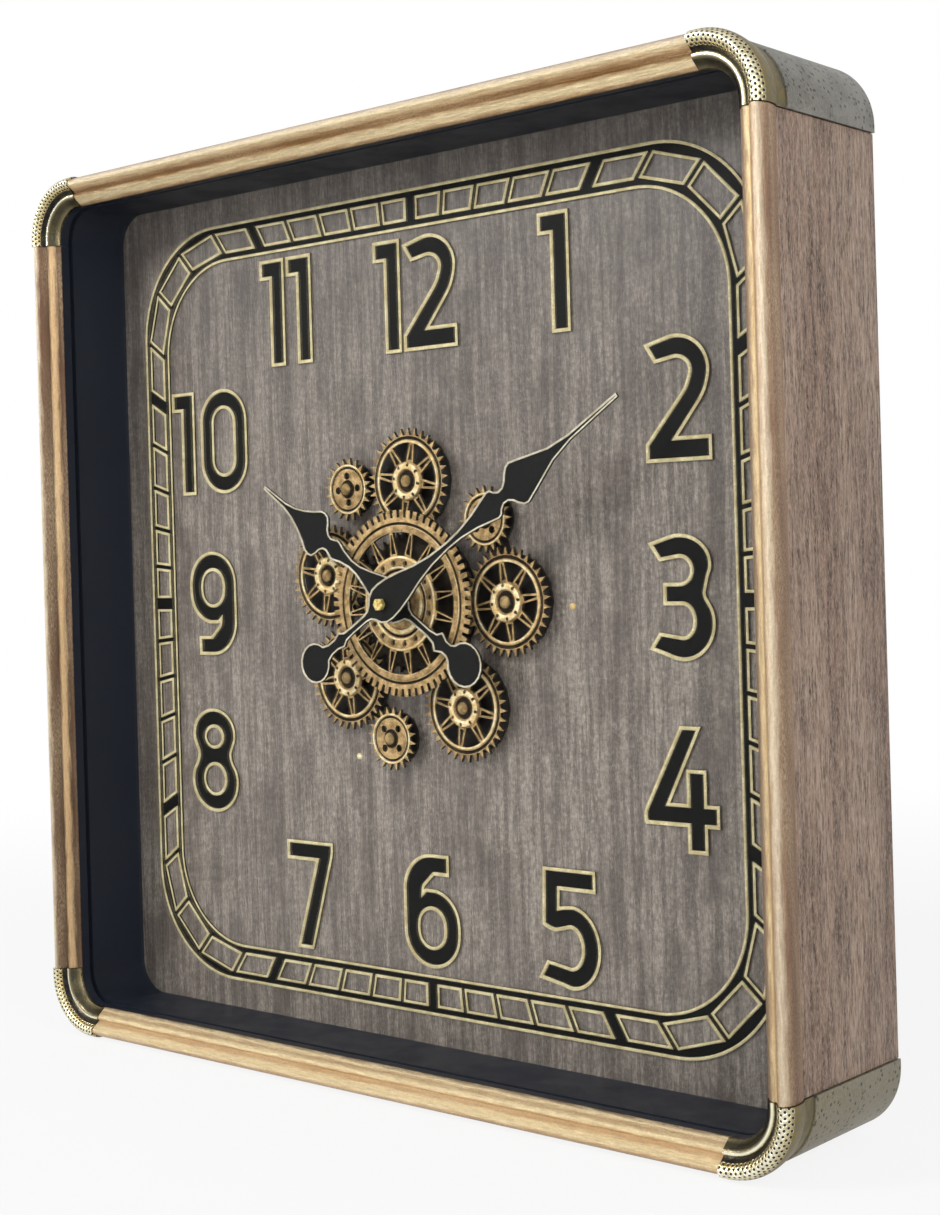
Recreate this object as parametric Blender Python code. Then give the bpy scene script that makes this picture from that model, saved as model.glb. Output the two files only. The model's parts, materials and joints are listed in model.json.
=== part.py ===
# Square wall clock with a train of turning gears behind its glass.
# Metres, +Z up, +X to the right as seen from the front, and the front faces -Y.
# The origin lies on the wall plane, behind the axis of the hands.
# Depths are counted from the front plane of the case towards the wall.

import math

import bmesh
import bpy

for old in list(bpy.data.objects):
    bpy.data.objects.remove(old, do_unlink=True)

# Case
CASE_WIDTH = 0.6084
CASE_HEIGHT = 0.6000
CASE_DEPTH = 0.1200
CORNER_RADIUS = 0.0400
CORNER_STRAIGHT = 0.0040
FIT_GAP = 0.0003

# Front moulding and its corner elbows
MOULDING_WIDTH = 0.0192
MOULDING_DEPTH = 0.0198
BEAD_WIDTH = 0.0112
ELBOW_PROUD = 0.0011
SKIRT_LENGTH = 0.0097
SKIRT_THICKNESS = 0.0021

# Side boards and corner castings
BOARD_INSET = 0.0022
BOARD_THICKNESS = 0.0125
CASTING_INSET = 0.0008

# Glass, liner and dial
GLASS_THICKNESS = 0.0030
LINER_THICKNESS = 0.0030
LINER_DEPTH = 0.0469
DIAL_THICKNESS = 0.0040

# Battens and back panel
BATTEN_WIDTH = 0.0120
PANEL_THICKNESS = 0.0040
WINDOW_WIDTH = 0.1120
WINDOW_TOP = -0.0070
WINDOW_BOTTOM = -0.1120

# Minute track
TRACK_MARGIN = 0.0190
TRACK_WIDTH = 0.0255
TRACK_BORDER = 0.0070
TRACK_CORNER_RADIUS = 0.0755
TRACK_THICKNESS = 0.0012
TICK_HALF_WIDTH = 0.0031
HOUR_BAR_HALF_WIDTH = 0.0058
MINUTES = 60

# Numerals, drawn on a grid of 68 units for their dark height
NUMERAL_HEIGHT = 0.0680
NUMERAL_GRID = 68.0
NUMERAL_RIM = 0.00235
NUMERAL_THICKNESS = 0.0012
NUMERAL_TO_TRACK = 0.0050

# Gear train
GEAR_THICKNESS = 0.0025
CENTRE_GEAR_AHEAD = 0.0095
CENTRE_GEAR_TEETH = 62
CENTRE_GEAR_TIP_RADIUS = 0.0587
CENTRE_GEAR_RIM_RADIUS = 0.0450
CENTRE_GEAR_HUB_RADIUS = 0.0300
CENTRE_GEAR_SPOKES = 16
CENTRE_GEAR_SPOKE_ANGLE = 8.5
COLLAR_HEIGHT = 0.0045
SATELLITE_ORBIT = 0.0770
SATELLITE_TEETH = 34
REAR_GEAR_TEETH = 44
SMALL_GEAR_TEETH = 20
TOOTH_HEIGHT = 0.0048
TOOTH_ROOT_WIDTH = 0.0029
TOOTH_TIP_WIDTH = 0.0012
SATELLITE_RIM_WIDTH = 0.0040
SATELLITE_HUB_RADIUS = 0.0125
SATELLITE_SPOKES = 8
SMALL_GEAR_HOLE_RADIUS = 0.0025
SMALL_GEAR_HOLE_ORBIT = 0.0087
SMALL_GEAR_HOLES = 4
STUD_RADIUS = 0.0025
STUD_CAP_RADIUS = 0.0045
STUD_CAP_HEIGHT = 0.0018
STUD_COLLAR_RADIUS = 0.0060
MECHANISM_PLATE_THICKNESS = 0.0015
MECHANISM_LOBE_MARGIN = 0.0040
MECHANISM_ARM_WIDTH = 0.0140
ARM_STEP = 0.0002

# Hands and their arbors
HANDS_APART = 0.0109
HOUR_HAND_AHEAD = 0.0034
HAND_THICKNESS = 0.0016
MINUTE_HAND_LENGTH = 0.2196
MINUTE_HAND_ANGLE = 32.1
HOUR_HAND_LENGTH = 0.1396
HOUR_HAND_ANGLE = 146.2
MINUTE_ARBOR_RADIUS = 0.0018
HOUR_PIPE_RADIUS = 0.0028
BUSH_RADIUS = 0.0045
RUNNING_GAP = 0.0003
HAND_NUT_ACROSS = 0.0070
HAND_NUT_HEIGHT = 0.0032
HOUR_COLLAR_HEIGHT = 0.0020
BUSH_PROUD = 0.0015

# Movement and gear motor behind the dial
MOVEMENT_WIDTH = 0.0560
MOVEMENT_HEIGHT = 0.0560
MOVEMENT_DEPTH = 0.0160
MOVEMENT_TOP = 0.0160
CELL_RADIUS = 0.0071
CELL_LENGTH = 0.0500
CELL_DROP = 0.0260
CELL_CONTACT_RADIUS = 0.0027
CELL_CONTACT_HEIGHT = 0.0015
KNOB_RADIUS = 0.0062
KNOB_HEIGHT = 0.0050
KNOB_RIBS = 14
KNOB_RIB_HEIGHT = 0.0006
KNOB_DROP = 0.0135
MOTOR_WIDTH = 0.0980
MOTOR_HEIGHT = 0.0620
MOTOR_DEPTH = 0.0340
MOTOR_GAP = 0.0030
BAY_WIDTH = 0.0600
BAY_HEIGHT = 0.0360
BAY_DEPTH = 0.0290
BAY_DROP = 0.0060
LID_MARGIN = 0.0030
LID_THICKNESS = 0.0020
SWITCH_LENGTH = 0.0060
SWITCH_HEIGHT = 0.0040
SWITCH_TRAVEL = 0.0040
SWITCH_DROP = 0.0060
SWITCH_SLOT_DEPTH = 0.0020
SWITCH_PROUD = 0.0020

# Wall fixings
KEYHOLE_FROM_SIDE = 0.1042
KEYHOLE_FROM_TOP = 0.0520
KEYHOLE_PLATE_WIDTH = 0.0460
KEYHOLE_PLATE_HEIGHT = 0.0465
KEYHOLE_PLATE_THICKNESS = 0.0012
KEYHOLE_PLATE_RECESS = 0.0002
KEYHOLE_PLATE_BELOW = 0.0180
KEYHOLE_RADIUS = 0.0052
KEYHOLE_SLOT_RADIUS = 0.0027
KEYHOLE_SLOT_LENGTH = 0.0130
KEYHOLE_LANDING = 0.0040

# Smoothness of round shapes
ARC_STEP = 20.0
ROUND_STEPS = 16
SMALL_ROUND_STEPS = 10

# Sizes that follow from the ones above
HALF_WIDTH = CASE_WIDTH / 2
HALF_HEIGHT = CASE_HEIGHT / 2
LEG = CORNER_RADIUS + CORNER_STRAIGHT
BOARD_INNER = BOARD_INSET + BOARD_THICKNESS
INNER_EDGE = BOARD_INNER + FIT_GAP
SKIRT_INSET = BOARD_INSET - 0.4 * ELBOW_PROUD
SKIRT_END = MOULDING_DEPTH + SKIRT_LENGTH
CASTING_NECK = SKIRT_INSET + SKIRT_THICKNESS + FIT_GAP
GLASS_FRONT = MOULDING_DEPTH + FIT_GAP
LINER_FRONT = GLASS_FRONT + GLASS_THICKNESS + FIT_GAP
DIAL_DEPTH = LINER_FRONT + LINER_DEPTH + FIT_GAP
DIAL_BACK = DIAL_DEPTH + DIAL_THICKNESS
PANEL_FRONT = CASE_DEPTH - PANEL_THICKNESS
TRACK_HALF = min(HALF_WIDTH, HALF_HEIGHT) - INNER_EDGE - LINER_THICKNESS - TRACK_MARGIN
TRACK_INNER = TRACK_HALF - TRACK_WIDTH
PITCH_RADIUS = SATELLITE_ORBIT / (SATELLITE_TEETH + REAR_GEAR_TEETH)
SATELLITE_TIP = PITCH_RADIUS * SATELLITE_TEETH + 0.07 * TOOTH_HEIGHT
REAR_GEAR_TIP = PITCH_RADIUS * REAR_GEAR_TEETH + 0.62 * TOOTH_HEIGHT
SMALL_GEAR_TIP = PITCH_RADIUS * SMALL_GEAR_TEETH + 0.2 * TOOTH_HEIGHT
SMALL_GEAR_REACH = PITCH_RADIUS * (SATELLITE_TEETH + SMALL_GEAR_TEETH)
PLATE_FRONT = DIAL_DEPTH - FIT_GAP - MECHANISM_PLATE_THICKNESS
TRAIN_DEPTH = PLATE_FRONT - COLLAR_HEIGHT - FIT_GAP - GEAR_THICKNESS
CENTRE_GEAR_DEPTH = TRAIN_DEPTH - CENTRE_GEAR_AHEAD - GEAR_THICKNESS
HOUR_HAND_DEPTH = CENTRE_GEAR_DEPTH - HOUR_HAND_AHEAD - HAND_THICKNESS
MINUTE_HAND_DEPTH = HOUR_HAND_DEPTH - HANDS_APART - HAND_THICKNESS
COLLAR_BACK = PLATE_FRONT - FIT_GAP
MOVEMENT_FRONT = DIAL_BACK + FIT_GAP
MOVEMENT_BACK = MOVEMENT_FRONT + MOVEMENT_DEPTH
MOTOR_BACK = MOVEMENT_FRONT + MOTOR_DEPTH
MOTOR_TOP = MOVEMENT_TOP - MOVEMENT_HEIGHT - MOTOR_GAP

# Satellite gears: name, direction from the centre, direction of one spoke
SATELLITES = (
    ("satellite_top", 91.5, 35.0),
    ("satellite_right", 0.0, 8.0),
    ("satellite_lower_right", -58.3, 34.5),
    ("satellite_lower_left", -140.7, 8.0),
    ("satellite_left", 166.5, 35.0),
)

# Small gears: name, the satellite that drives it, direction from it, direction of one hole
SMALL_GEARS = (
    ("small_gear_upper_left", "satellite_top", 183.2, 4.0),
    ("small_gear_upper_right", "satellite_right", 107.3, 40.0),
    ("small_gear_bottom", "satellite_lower_left", -45.9, 47.0),
)

# Materials


def linear(value):
    share = value / 255.0
    if share <= 0.04045:
        return share / 12.92
    return ((share + 0.055) / 1.055) ** 2.4


def make_material(name, red, green, blue, roughness, metallic, see_through=0.0):
    material = bpy.data.materials.new(name)
    material.use_nodes = True
    shader = material.node_tree.nodes["Principled BSDF"]
    colour = (linear(red), linear(green), linear(blue), 1.0)
    shader.inputs["Base Color"].default_value = colour
    shader.inputs["Roughness"].default_value = roughness
    shader.inputs["Metallic"].default_value = metallic
    shader.inputs["Transmission Weight"].default_value = see_through
    material.diffuse_color = colour
    return material


COPPER = make_material("copper_moulding", 156, 124, 92, 0.45, 0.8)
BRASS_ELBOW = make_material("bright_brass", 190, 172, 110, 0.3, 1.0)
WOOD = make_material("brown_wood", 139, 120, 108, 0.6, 0.0)
PEWTER = make_material("hammered_pewter", 104, 97, 84, 0.45, 0.9)
BLACK_LINER = make_material("black_satin", 38, 41, 47, 0.4, 0.0)
GLASS = make_material("clear_glass", 240, 245, 244, 0.02, 0.0, 1.0)
DIAL = make_material("grey_brown_grain", 134, 126, 116, 0.35, 0.0)
BLACK_ENAMEL = make_material("black_enamel", 42, 43, 46, 0.35, 0.2)
ANTIQUE_GOLD = make_material("antique_gold", 176, 146, 96, 0.35, 1.0)
STEEL = make_material("plated_steel", 170, 168, 162, 0.35, 1.0)
BLACK_PLASTIC = make_material("black_plastic", 28, 28, 30, 0.5, 0.0)
RAW_BOARD = make_material("fibre_board", 120, 92, 66, 0.8, 0.0)
CELL_SLEEVE = make_material("cell_sleeve", 60, 84, 110, 0.4, 0.3)

# Building helpers


def at_depth(depth):
    return depth - CASE_DEPTH


def arc(centre_x, centre_z, radius_x, radius_z, start, end):
    count = max(1, math.ceil(abs(end - start) / ARC_STEP))
    points = []
    for step in range(count + 1):
        angle = math.radians(start + (end - start) * step / count)
        points.append((centre_x + radius_x * math.cos(angle), centre_z + radius_z * math.sin(angle)))
    return points


def circle(centre_x, centre_z, radius, steps):
    points = []
    for step in range(steps):
        angle = 2 * math.pi * step / steps
        points.append((centre_x + radius * math.cos(angle), centre_z + radius * math.sin(angle)))
    return points


def rectangle(left, right, bottom, top):
    return [(right, bottom), (right, top), (left, top), (left, bottom)]


def rounded_rectangle(half_x, half_z, radius):
    points = []
    corners = ((1, 1, 0.0), (-1, 1, 90.0), (-1, -1, 180.0), (1, -1, 270.0))
    for side_x, side_z, start in corners:
        centre_x = side_x * (half_x - radius)
        centre_z = side_z * (half_z - radius)
        points.extend(arc(centre_x, centre_z, radius, radius, start, start + 90.0))
    return points


def case_outline(inset):
    return rounded_rectangle(HALF_WIDTH - inset, HALF_HEIGHT - inset, CORNER_RADIUS - inset)


def turned_to(points, angle):
    cosine = math.cos(math.radians(angle))
    sine = math.sin(math.radians(angle))
    return [(x * cosine - z * sine, x * sine + z * cosine) for x, z in points]


def polar(radius, angle):
    return (radius * math.cos(math.radians(angle)), radius * math.sin(math.radians(angle)))


def signed_area(loop):
    total = 0.0
    for index, (x, z) in enumerate(loop):
        last_x, last_z = loop[index - 1]
        total += last_x * z - x * last_z
    return total / 2


def grown(loop, distance):
    # Moves every edge of a counter-clockwise loop outwards, with mitred corners
    result = []
    count = len(loop)
    for index in range(count):
        before = loop[index - 1]
        here = loop[index]
        after = loop[(index + 1) % count]
        first = (here[0] - before[0], here[1] - before[1])
        second = (after[0] - here[0], after[1] - here[1])
        first_length = math.hypot(*first)
        second_length = math.hypot(*second)
        normal_x = first[1] / first_length + second[1] / second_length
        normal_z = -first[0] / first_length - second[0] / second_length
        square = normal_x ** 2 + normal_z ** 2
        move = 2 * distance / square
        result.append((here[0] + move * normal_x, here[1] + move * normal_z))
    return result


def finish(name, bm, material, location=(0.0, 0.0, 0.0)):
    bmesh.ops.recalc_face_normals(bm, faces=bm.faces)
    mesh = bpy.data.meshes.new(name)
    bm.to_mesh(mesh)
    bm.free()
    mesh.materials.append(material)
    mesh.shade_smooth()
    mesh.set_sharp_from_angle(angle=math.radians(32))
    piece = bpy.data.objects.new(name, mesh)
    piece.location = location
    bpy.context.collection.objects.link(piece)
    return piece


def add_plate(bm, loops, front, back):
    # Fills the first loop, less the others, and gives it a thickness
    edges = []
    for loop in loops:
        verts = [bm.verts.new((x, front, z)) for x, z in loop]
        for index, vert in enumerate(verts):
            edges.append(bm.edges.new((verts[index - 1], vert)))
    filled = bmesh.ops.triangle_fill(bm, use_beauty=True, use_dissolve=False, edges=edges, normal=(0, -1, 0))
    faces = [item for item in filled["geom"] if isinstance(item, bmesh.types.BMFace)]
    grown_out = bmesh.ops.extrude_face_region(bm, geom=faces)
    moved = [item for item in grown_out["geom"] if isinstance(item, bmesh.types.BMVert)]
    bmesh.ops.translate(bm, verts=moved, vec=(0.0, back - front, 0.0))


def plate(name, loops, front, back, material, centre=(0.0, 0.0)):
    bm = bmesh.new()
    add_plate(bm, loops, 0.0, back - front)
    return finish(name, bm, material, (centre[0], at_depth(front), centre[1]))


def add_turned(bm, profile, centre, base, steps=ROUND_STEPS):
    # Turns a closed outline of radius and depth about the axis through its centre
    rings = []
    for radius, depth in profile:
        if radius == 0.0:
            rings.append([bm.verts.new((centre[0], depth - base, centre[1]))])
            continue
        ring = circle(centre[0], centre[1], radius, steps)
        rings.append([bm.verts.new((x, depth - base, z)) for x, z in ring])
    for index in range(len(rings)):
        first = rings[index - 1]
        second = rings[index]
        if len(first) == 1 and len(second) == 1:
            continue
        for step in range(steps):
            after = (step + 1) % steps
            corners = [first[step % len(first)], first[after % len(first)]]
            corners += [second[after % len(second)], second[step % len(second)]]
            bm.faces.new(list(dict.fromkeys(corners)))


def turned(name, profile, material, centre=(0.0, 0.0), steps=ROUND_STEPS):
    bm = bmesh.new()
    front = min(depth for radius, depth in profile)
    add_turned(bm, profile, (0.0, 0.0), front, steps)
    return finish(name, bm, material, (centre[0], at_depth(front), centre[1]))


def swept(name, profile, path, material):
    # Carries a profile of inset and depth along a path of points with outward directions
    bm = bmesh.new()
    rows = []
    for (x, z), (out_x, out_z) in path:
        row = []
        for inset, depth in profile:
            row.append(bm.verts.new((x - inset * out_x, at_depth(depth), z - inset * out_z)))
        rows.append(row)
    count = len(profile)
    for first, second in zip(rows, rows[1:]):
        for index in range(count):
            bm.faces.new((first[index - 1], first[index], second[index], second[index - 1]))
    caps = [bm.faces.new(rows[0]), bm.faces.new(reversed(rows[-1]))]
    bm.normal_update()
    bmesh.ops.triangulate(bm, faces=caps)
    return finish(name, bm, material)


def corner_path(side_x, side_z, gap):
    # From the end on the horizontal rail, round the corner, to the end on the vertical rail
    centre_x = HALF_WIDTH - CORNER_RADIUS
    centre_z = HALF_HEIGHT - CORNER_RADIUS
    straight = CORNER_STRAIGHT - gap
    path = [((side_x * (centre_x - straight), side_z * HALF_HEIGHT), (0.0, side_z))]
    for x, z in arc(0.0, 0.0, 1.0, 1.0, 90.0, 0.0):
        point = (side_x * (centre_x + CORNER_RADIUS * x), side_z * (centre_z + CORNER_RADIUS * z))
        path.append((point, (side_x * x, side_z * z)))
    path.append(((side_x * HALF_WIDTH, side_z * (centre_z - straight)), (side_x, 0.0)))
    return path


def side_path(direction):
    # The straight edge between two corners, in the direction of top, right, bottom or left
    out_x, out_z = direction
    run = (HALF_HEIGHT if out_x else HALF_WIDTH) - LEG
    middle = (out_x * HALF_WIDTH, out_z * HALF_HEIGHT)
    ends = []
    for sign in (-1, 1):
        point = (middle[0] - sign * out_z * run, middle[1] + sign * out_x * run)
        ends.append((point, direction))
    return ends


def use_tool(piece, tool, operation):
    tool.hide_render = True
    tool.display_type = "WIRE"
    modifier = piece.modifiers.new(operation.lower(), "BOOLEAN")
    modifier.operation = operation
    modifier.solver = "EXACT"
    modifier.object = tool


# Case


SIDES = {"top": (0, 1), "right": (1, 0), "bottom": (0, -1), "left": (-1, 0)}
CORNERS = {
    "top_right": (1, 1),
    "top_left": (-1, 1),
    "bottom_right": (1, -1),
    "bottom_left": (-1, -1),
}


def moulding_profile(proud):
    # Outer bead, groove and sunk inner bead, from the outer rear edge round the front
    groove = BEAD_WIDTH
    inner_bead = MOULDING_WIDTH - BEAD_WIDTH
    crest = ELBOW_PROUD - proud
    return [
        (BOARD_INSET - proud, MOULDING_DEPTH),
        (0.0006 - proud, 0.0150),
        (-proud, 0.0080),
        (0.0014 - proud, crest + 0.0030),
        (0.29 * groove - proud, crest + 0.0005),
        (0.43 * groove - proud, crest),
        (0.54 * groove - proud, crest + 0.0003),
        (0.63 * groove, crest + 0.0016),
        (0.77 * groove, crest + 0.0036),
        (0.89 * groove, crest + 0.0052),
        (groove, crest + 0.0059),
        (groove + 0.13 * inner_bead, crest + 0.0056),
        (groove + 0.28 * inner_bead, crest + 0.0056),
        (groove + 0.45 * inner_bead, crest + 0.0064),
        (groove + 0.65 * inner_bead, crest + 0.0084),
        (groove + 0.84 * inner_bead, crest + 0.0102),
        (MOULDING_WIDTH, crest + 0.0118),
        (MOULDING_WIDTH, MOULDING_DEPTH),
    ]


def elbow_profile():
    skirt_inner = SKIRT_INSET + SKIRT_THICKNESS
    shape = moulding_profile(ELBOW_PROUD)
    shape[0] = (SKIRT_INSET, MOULDING_DEPTH - 0.0010)
    shape.append((skirt_inner, MOULDING_DEPTH))
    shape.append((skirt_inner, SKIRT_END))
    shape.append((SKIRT_INSET, SKIRT_END))
    return shape


def board_profile():
    front = MOULDING_DEPTH + FIT_GAP
    return [(BOARD_INSET, front), (BOARD_INNER, front), (BOARD_INNER, CASE_DEPTH), (BOARD_INSET, CASE_DEPTH)]


def casting_profile():
    front = MOULDING_DEPTH + FIT_GAP
    step = SKIRT_END + FIT_GAP
    return [
        (CASTING_NECK, front),
        (BOARD_INNER, front),
        (BOARD_INNER, CASE_DEPTH),
        (CASTING_INSET, CASE_DEPTH),
        (CASTING_INSET, step),
        (CASTING_NECK, step),
    ]


def make_case():
    for side, direction in SIDES.items():
        swept("rail_" + side, moulding_profile(0.0), side_path(direction), COPPER)
        swept("board_" + side, board_profile(), side_path(direction), WOOD)
    for corner, (side_x, side_z) in CORNERS.items():
        path = corner_path(side_x, side_z, FIT_GAP)
        swept("elbow_" + corner, elbow_profile(), path, BRASS_ELBOW)
        swept("casting_" + corner, casting_profile(), path, PEWTER)


def make_glass_and_liner():
    edge = case_outline(INNER_EDGE)
    plate("glass_pane", [edge], GLASS_FRONT, GLASS_FRONT + GLASS_THICKNESS, GLASS)
    inside = case_outline(INNER_EDGE + LINER_THICKNESS)
    plate("liner", [edge, inside], LINER_FRONT, DIAL_DEPTH - FIT_GAP, BLACK_LINER)


# Dial


def make_dial():
    loops = [case_outline(INNER_EDGE)]
    loops.append(circle(0.0, 0.0, BUSH_RADIUS + FIT_GAP, ROUND_STEPS))
    plate("dial_panel", loops, DIAL_DEPTH, DIAL_BACK, DIAL)


def outside_rounded_square(x, z, half, radius):
    away_x = max(abs(x) - (half - radius), 0.0)
    away_z = max(abs(z) - (half - radius), 0.0)
    straight = max(abs(x), abs(z)) > half
    return straight or math.hypot(away_x, away_z) > radius


def track_point(angle, shift, inset):
    # Where a line beside the ray at an angle meets the track's outline moved in by an inset
    half = TRACK_HALF - inset
    radius = TRACK_CORNER_RADIUS - inset / 2
    out_x, out_z = polar(1.0, angle)
    near = 0.0
    far = 2 * half
    for _ in range(40):
        middle = (near + far) / 2
        x = middle * out_x - shift * out_z
        z = middle * out_z + shift * out_x
        if outside_rounded_square(x, z, half, radius):
            far = middle
        else:
            near = middle
    return (near * out_x - shift * out_z, near * out_z + shift * out_x)


def tick_half_width(minute):
    return HOUR_BAR_HALF_WIDTH if minute % 5 == 0 else TICK_HALF_WIDTH


def make_track():
    outer = rounded_rectangle(TRACK_HALF, TRACK_HALF, TRACK_CORNER_RADIUS)
    inner_radius = TRACK_CORNER_RADIUS - TRACK_WIDTH / 2
    inner = rounded_rectangle(TRACK_INNER, TRACK_INNER, inner_radius)
    loops = [outer, inner]
    for minute in range(MINUTES):
        start = 90.0 - 360.0 * minute / MINUTES
        end = start - 360.0 / MINUTES
        first = -tick_half_width(minute)
        last = tick_half_width(minute + 1)
        window = [track_point(start, first, TRACK_WIDTH - TRACK_BORDER)]
        window.append(track_point(start, first, TRACK_BORDER))
        window.append(track_point(end, last, TRACK_BORDER))
        window.append(track_point(end, last, TRACK_WIDTH - TRACK_BORDER))
        loops.append(window)
    back = DIAL_DEPTH - FIT_GAP
    plate("minute_track", loops, back - TRACK_THICKNESS, back, BLACK_ENAMEL)


# Numeral outlines on the 68-unit grid: the outer edge first, then the counters


def glyph_0():
    outer = arc(0, 13.5, 21.4, 20.5, 0, 180) + arc(0, -13.5, 21.4, 20.5, 180, 360)
    counter = arc(0, 12.7, 12.3, 12.3, 0, 180) + arc(0, -12.7, 12.3, 12.3, 180, 360)
    return [outer, counter]


def glyph_1():
    return [[(8.5, 34), (-10.3, 34), (-10.3, 25.3), (-0.9, 25.3), (-0.9, -34), (8.5, -34)]]


def glyph_2():
    edge = [(-18.1, 30.2)] + arc(0, 15, 20.8, 19, 110, -15)
    edge += [(17.6, 3.2), (12.6, -4), (-4.4, -24.4), (21.2, -24.4), (21.2, -34), (-19.6, -34)]
    edge += [(-19.6, -26.6), (4.6, 0.6), (8.6, 6.2)] + arc(0, 15, 11.3, 9.9, -20, 105)
    return [edge + [(-13.3, 22.9)]]


def glyph_3():
    edge = [(-18.7, 30)] + arc(-1, 18.8, 19.5, 15.2, 105, -25) + [(14.2, 3.1)]
    edge += arc(0.4, -14.5, 20, 19.5, 42, -110) + [(-19.4, -28.7), (-14.8, -22.5)]
    edge += arc(0.4, -13.4, 9.6, 11.2, -105, 90) + [(-10.3, -2.2), (-10.3, 6.1)]
    return [edge + arc(-1, 15.5, 9.8, 9.4, -90, 105) + [(-13.7, 23.1)]]


def glyph_4():
    edge = [(1, 34), (10.2, 34), (-12.2, -10.2), (5.6, -10.2), (5.6, 9.4), (14.6, 9.4), (14.6, -10.2)]
    edge += [(23, -10.2), (23, -18.8), (14.6, -18.8), (14.6, -34), (5.6, -34), (5.6, -18.8)]
    return [edge + [(-23.5, -18.8), (-23.5, -12)]]


def glyph_5():
    edge = [(-16.8, 34), (18.5, 34), (18.5, 25.4), (-8.6, 25.4), (-9.2, 10.2)]
    edge += arc(1.5, -11, 19.8, 23, 105, -110) + [(-20.4, -29.8), (-16, -22.6)]
    return [edge + arc(1, -11.2, 10.6, 14, -105, 110) + [(-9.6, 0.2), (-17.9, 2.8)]]


def glyph_6():
    edge = [(13.2, 34)] + arc(0.8, 12, 22.4, 22, 90, 180) + arc(0, -13.5, 21.6, 20.5, 180, 360)
    edge += arc(0, -8, 21.6, 20, 0, 100) + [(-10.8, 8.6), (-6.8, 17.4)] + [(1.8, 25.2), (13.2, 25.2)]
    counter = arc(0, -9.4, 12.5, 12.5, 0, 180) + arc(0, -12.5, 12.5, 12.5, 180, 360)
    return [edge, counter]


def glyph_7():
    return [[(-18, 34), (20.6, 34), (20, 26.5), (1, -34), (-9.4, -34), (10, 25.4), (-18, 25.4)]]


def glyph_8():
    edge = arc(0, 18, 19.6, 16, -30, 210) + [(-14.8, 4.6)]
    edge += arc(0, -14.6, 21.7, 19.4, 140, 400) + [(14.8, 4.6)]
    upper = arc(0, 16.5, 10.2, 8.7, 0, 342)
    lower = arc(0, -13.2, 12.2, 12, 0, 342)
    return [edge, upper, lower]


def glyph_9():
    return [[(-x, -z) for x, z in loop] for loop in glyph_6()]


# Digits: name, hour, glyph, and the shift from the hour's place on the same grid
DIGITS = (
    ("01", 1, glyph_1, 2.2, 0.6),
    ("02", 2, glyph_2, 0.1, 2.2),
    ("03", 3, glyph_3, 0.0, 1.8),
    ("04", 4, glyph_4, -3.4, 5.4),
    ("05", 5, glyph_5, -1.4, -0.4),
    ("06", 6, glyph_6, 1.2, -0.4),
    ("07", 7, glyph_7, 3.8, -0.4),
    ("08", 8, glyph_8, -0.8, 3.0),
    ("09", 9, glyph_9, 2.4, 0.0),
    ("10_tens", 10, glyph_1, -22.8, -0.2),
    ("10_units", 10, glyph_0, 18.1, -0.2),
    ("11_tens", 11, glyph_1, -15.0, 0.6),
    ("11_units", 11, glyph_1, 10.8, 0.6),
    ("12_tens", 12, glyph_1, -21.4, 0.0),
    ("12_units", 12, glyph_2, 13.4, 0.0),
)


def numeral_place(hour):
    # On a square, in the direction of the hour
    half = TRACK_INNER - NUMERAL_TO_TRACK - NUMERAL_RIM - NUMERAL_HEIGHT / 2
    side_half = half + 0.06 * NUMERAL_HEIGHT
    out_x, out_z = polar(1.0, 90.0 - 30.0 * hour)
    if abs(out_z) > abs(out_x):
        return (half * out_x / abs(out_z), math.copysign(half, out_z))
    return (math.copysign(side_half, out_x), half * out_z / abs(out_x))


def with_rim(loop, is_counter):
    unit = NUMERAL_HEIGHT / NUMERAL_GRID
    points = [(x * unit, z * unit) for x, z in loop]
    if signed_area(points) < 0:
        points.reverse()
    points = [point for index, point in enumerate(points) if math.dist(point, points[index - 1]) > 1e-6]
    return grown(points, -NUMERAL_RIM if is_counter else NUMERAL_RIM)


def make_numerals():
    unit = NUMERAL_HEIGHT / NUMERAL_GRID
    back = DIAL_DEPTH - FIT_GAP
    for name, hour, glyph, shift_x, shift_z in DIGITS:
        x, z = numeral_place(hour)
        centre = (x + shift_x * unit, z + shift_z * unit)
        loops = [with_rim(loop, index > 0) for index, loop in enumerate(glyph())]
        plate("numeral_" + name, loops, back - NUMERAL_THICKNESS, back, BLACK_ENAMEL, centre)


# Gears


def gear_outline(teeth, tip_radius, phase, root_width, tip_width, height=TOOTH_HEIGHT):
    root_radius = tip_radius - height
    root_angle = math.degrees(root_width / 2 / root_radius)
    tip_angle = math.degrees(tip_width / 2 / tip_radius)
    points = []
    for tooth in range(teeth):
        middle = phase + 360.0 * tooth / teeth
        points.append(polar(root_radius, middle - root_angle))
        points.append(polar(tip_radius, middle - tip_angle))
        if tip_angle:
            points.append(polar(tip_radius, middle + tip_angle))
        points.append(polar(root_radius, middle + root_angle))
    return points


def spoke_windows(count, inner, outer, inner_half_width, outer_half_width, angle, bends):
    windows = []
    inner_angle = math.degrees(math.asin(inner_half_width / inner))
    outer_angle = math.degrees(math.asin(outer_half_width / outer))
    spacing = 360.0 / count
    for index in range(count):
        start = angle + index * spacing
        window = []
        for bend in range(bends + 1):
            span = spacing - 2 * outer_angle
            window.append(polar(outer, start + outer_angle + span * bend / bends))
        window.append(polar(inner, start + spacing - inner_angle))
        window.append(polar(inner, start + inner_angle))
        windows.append(window)
    return windows


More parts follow.
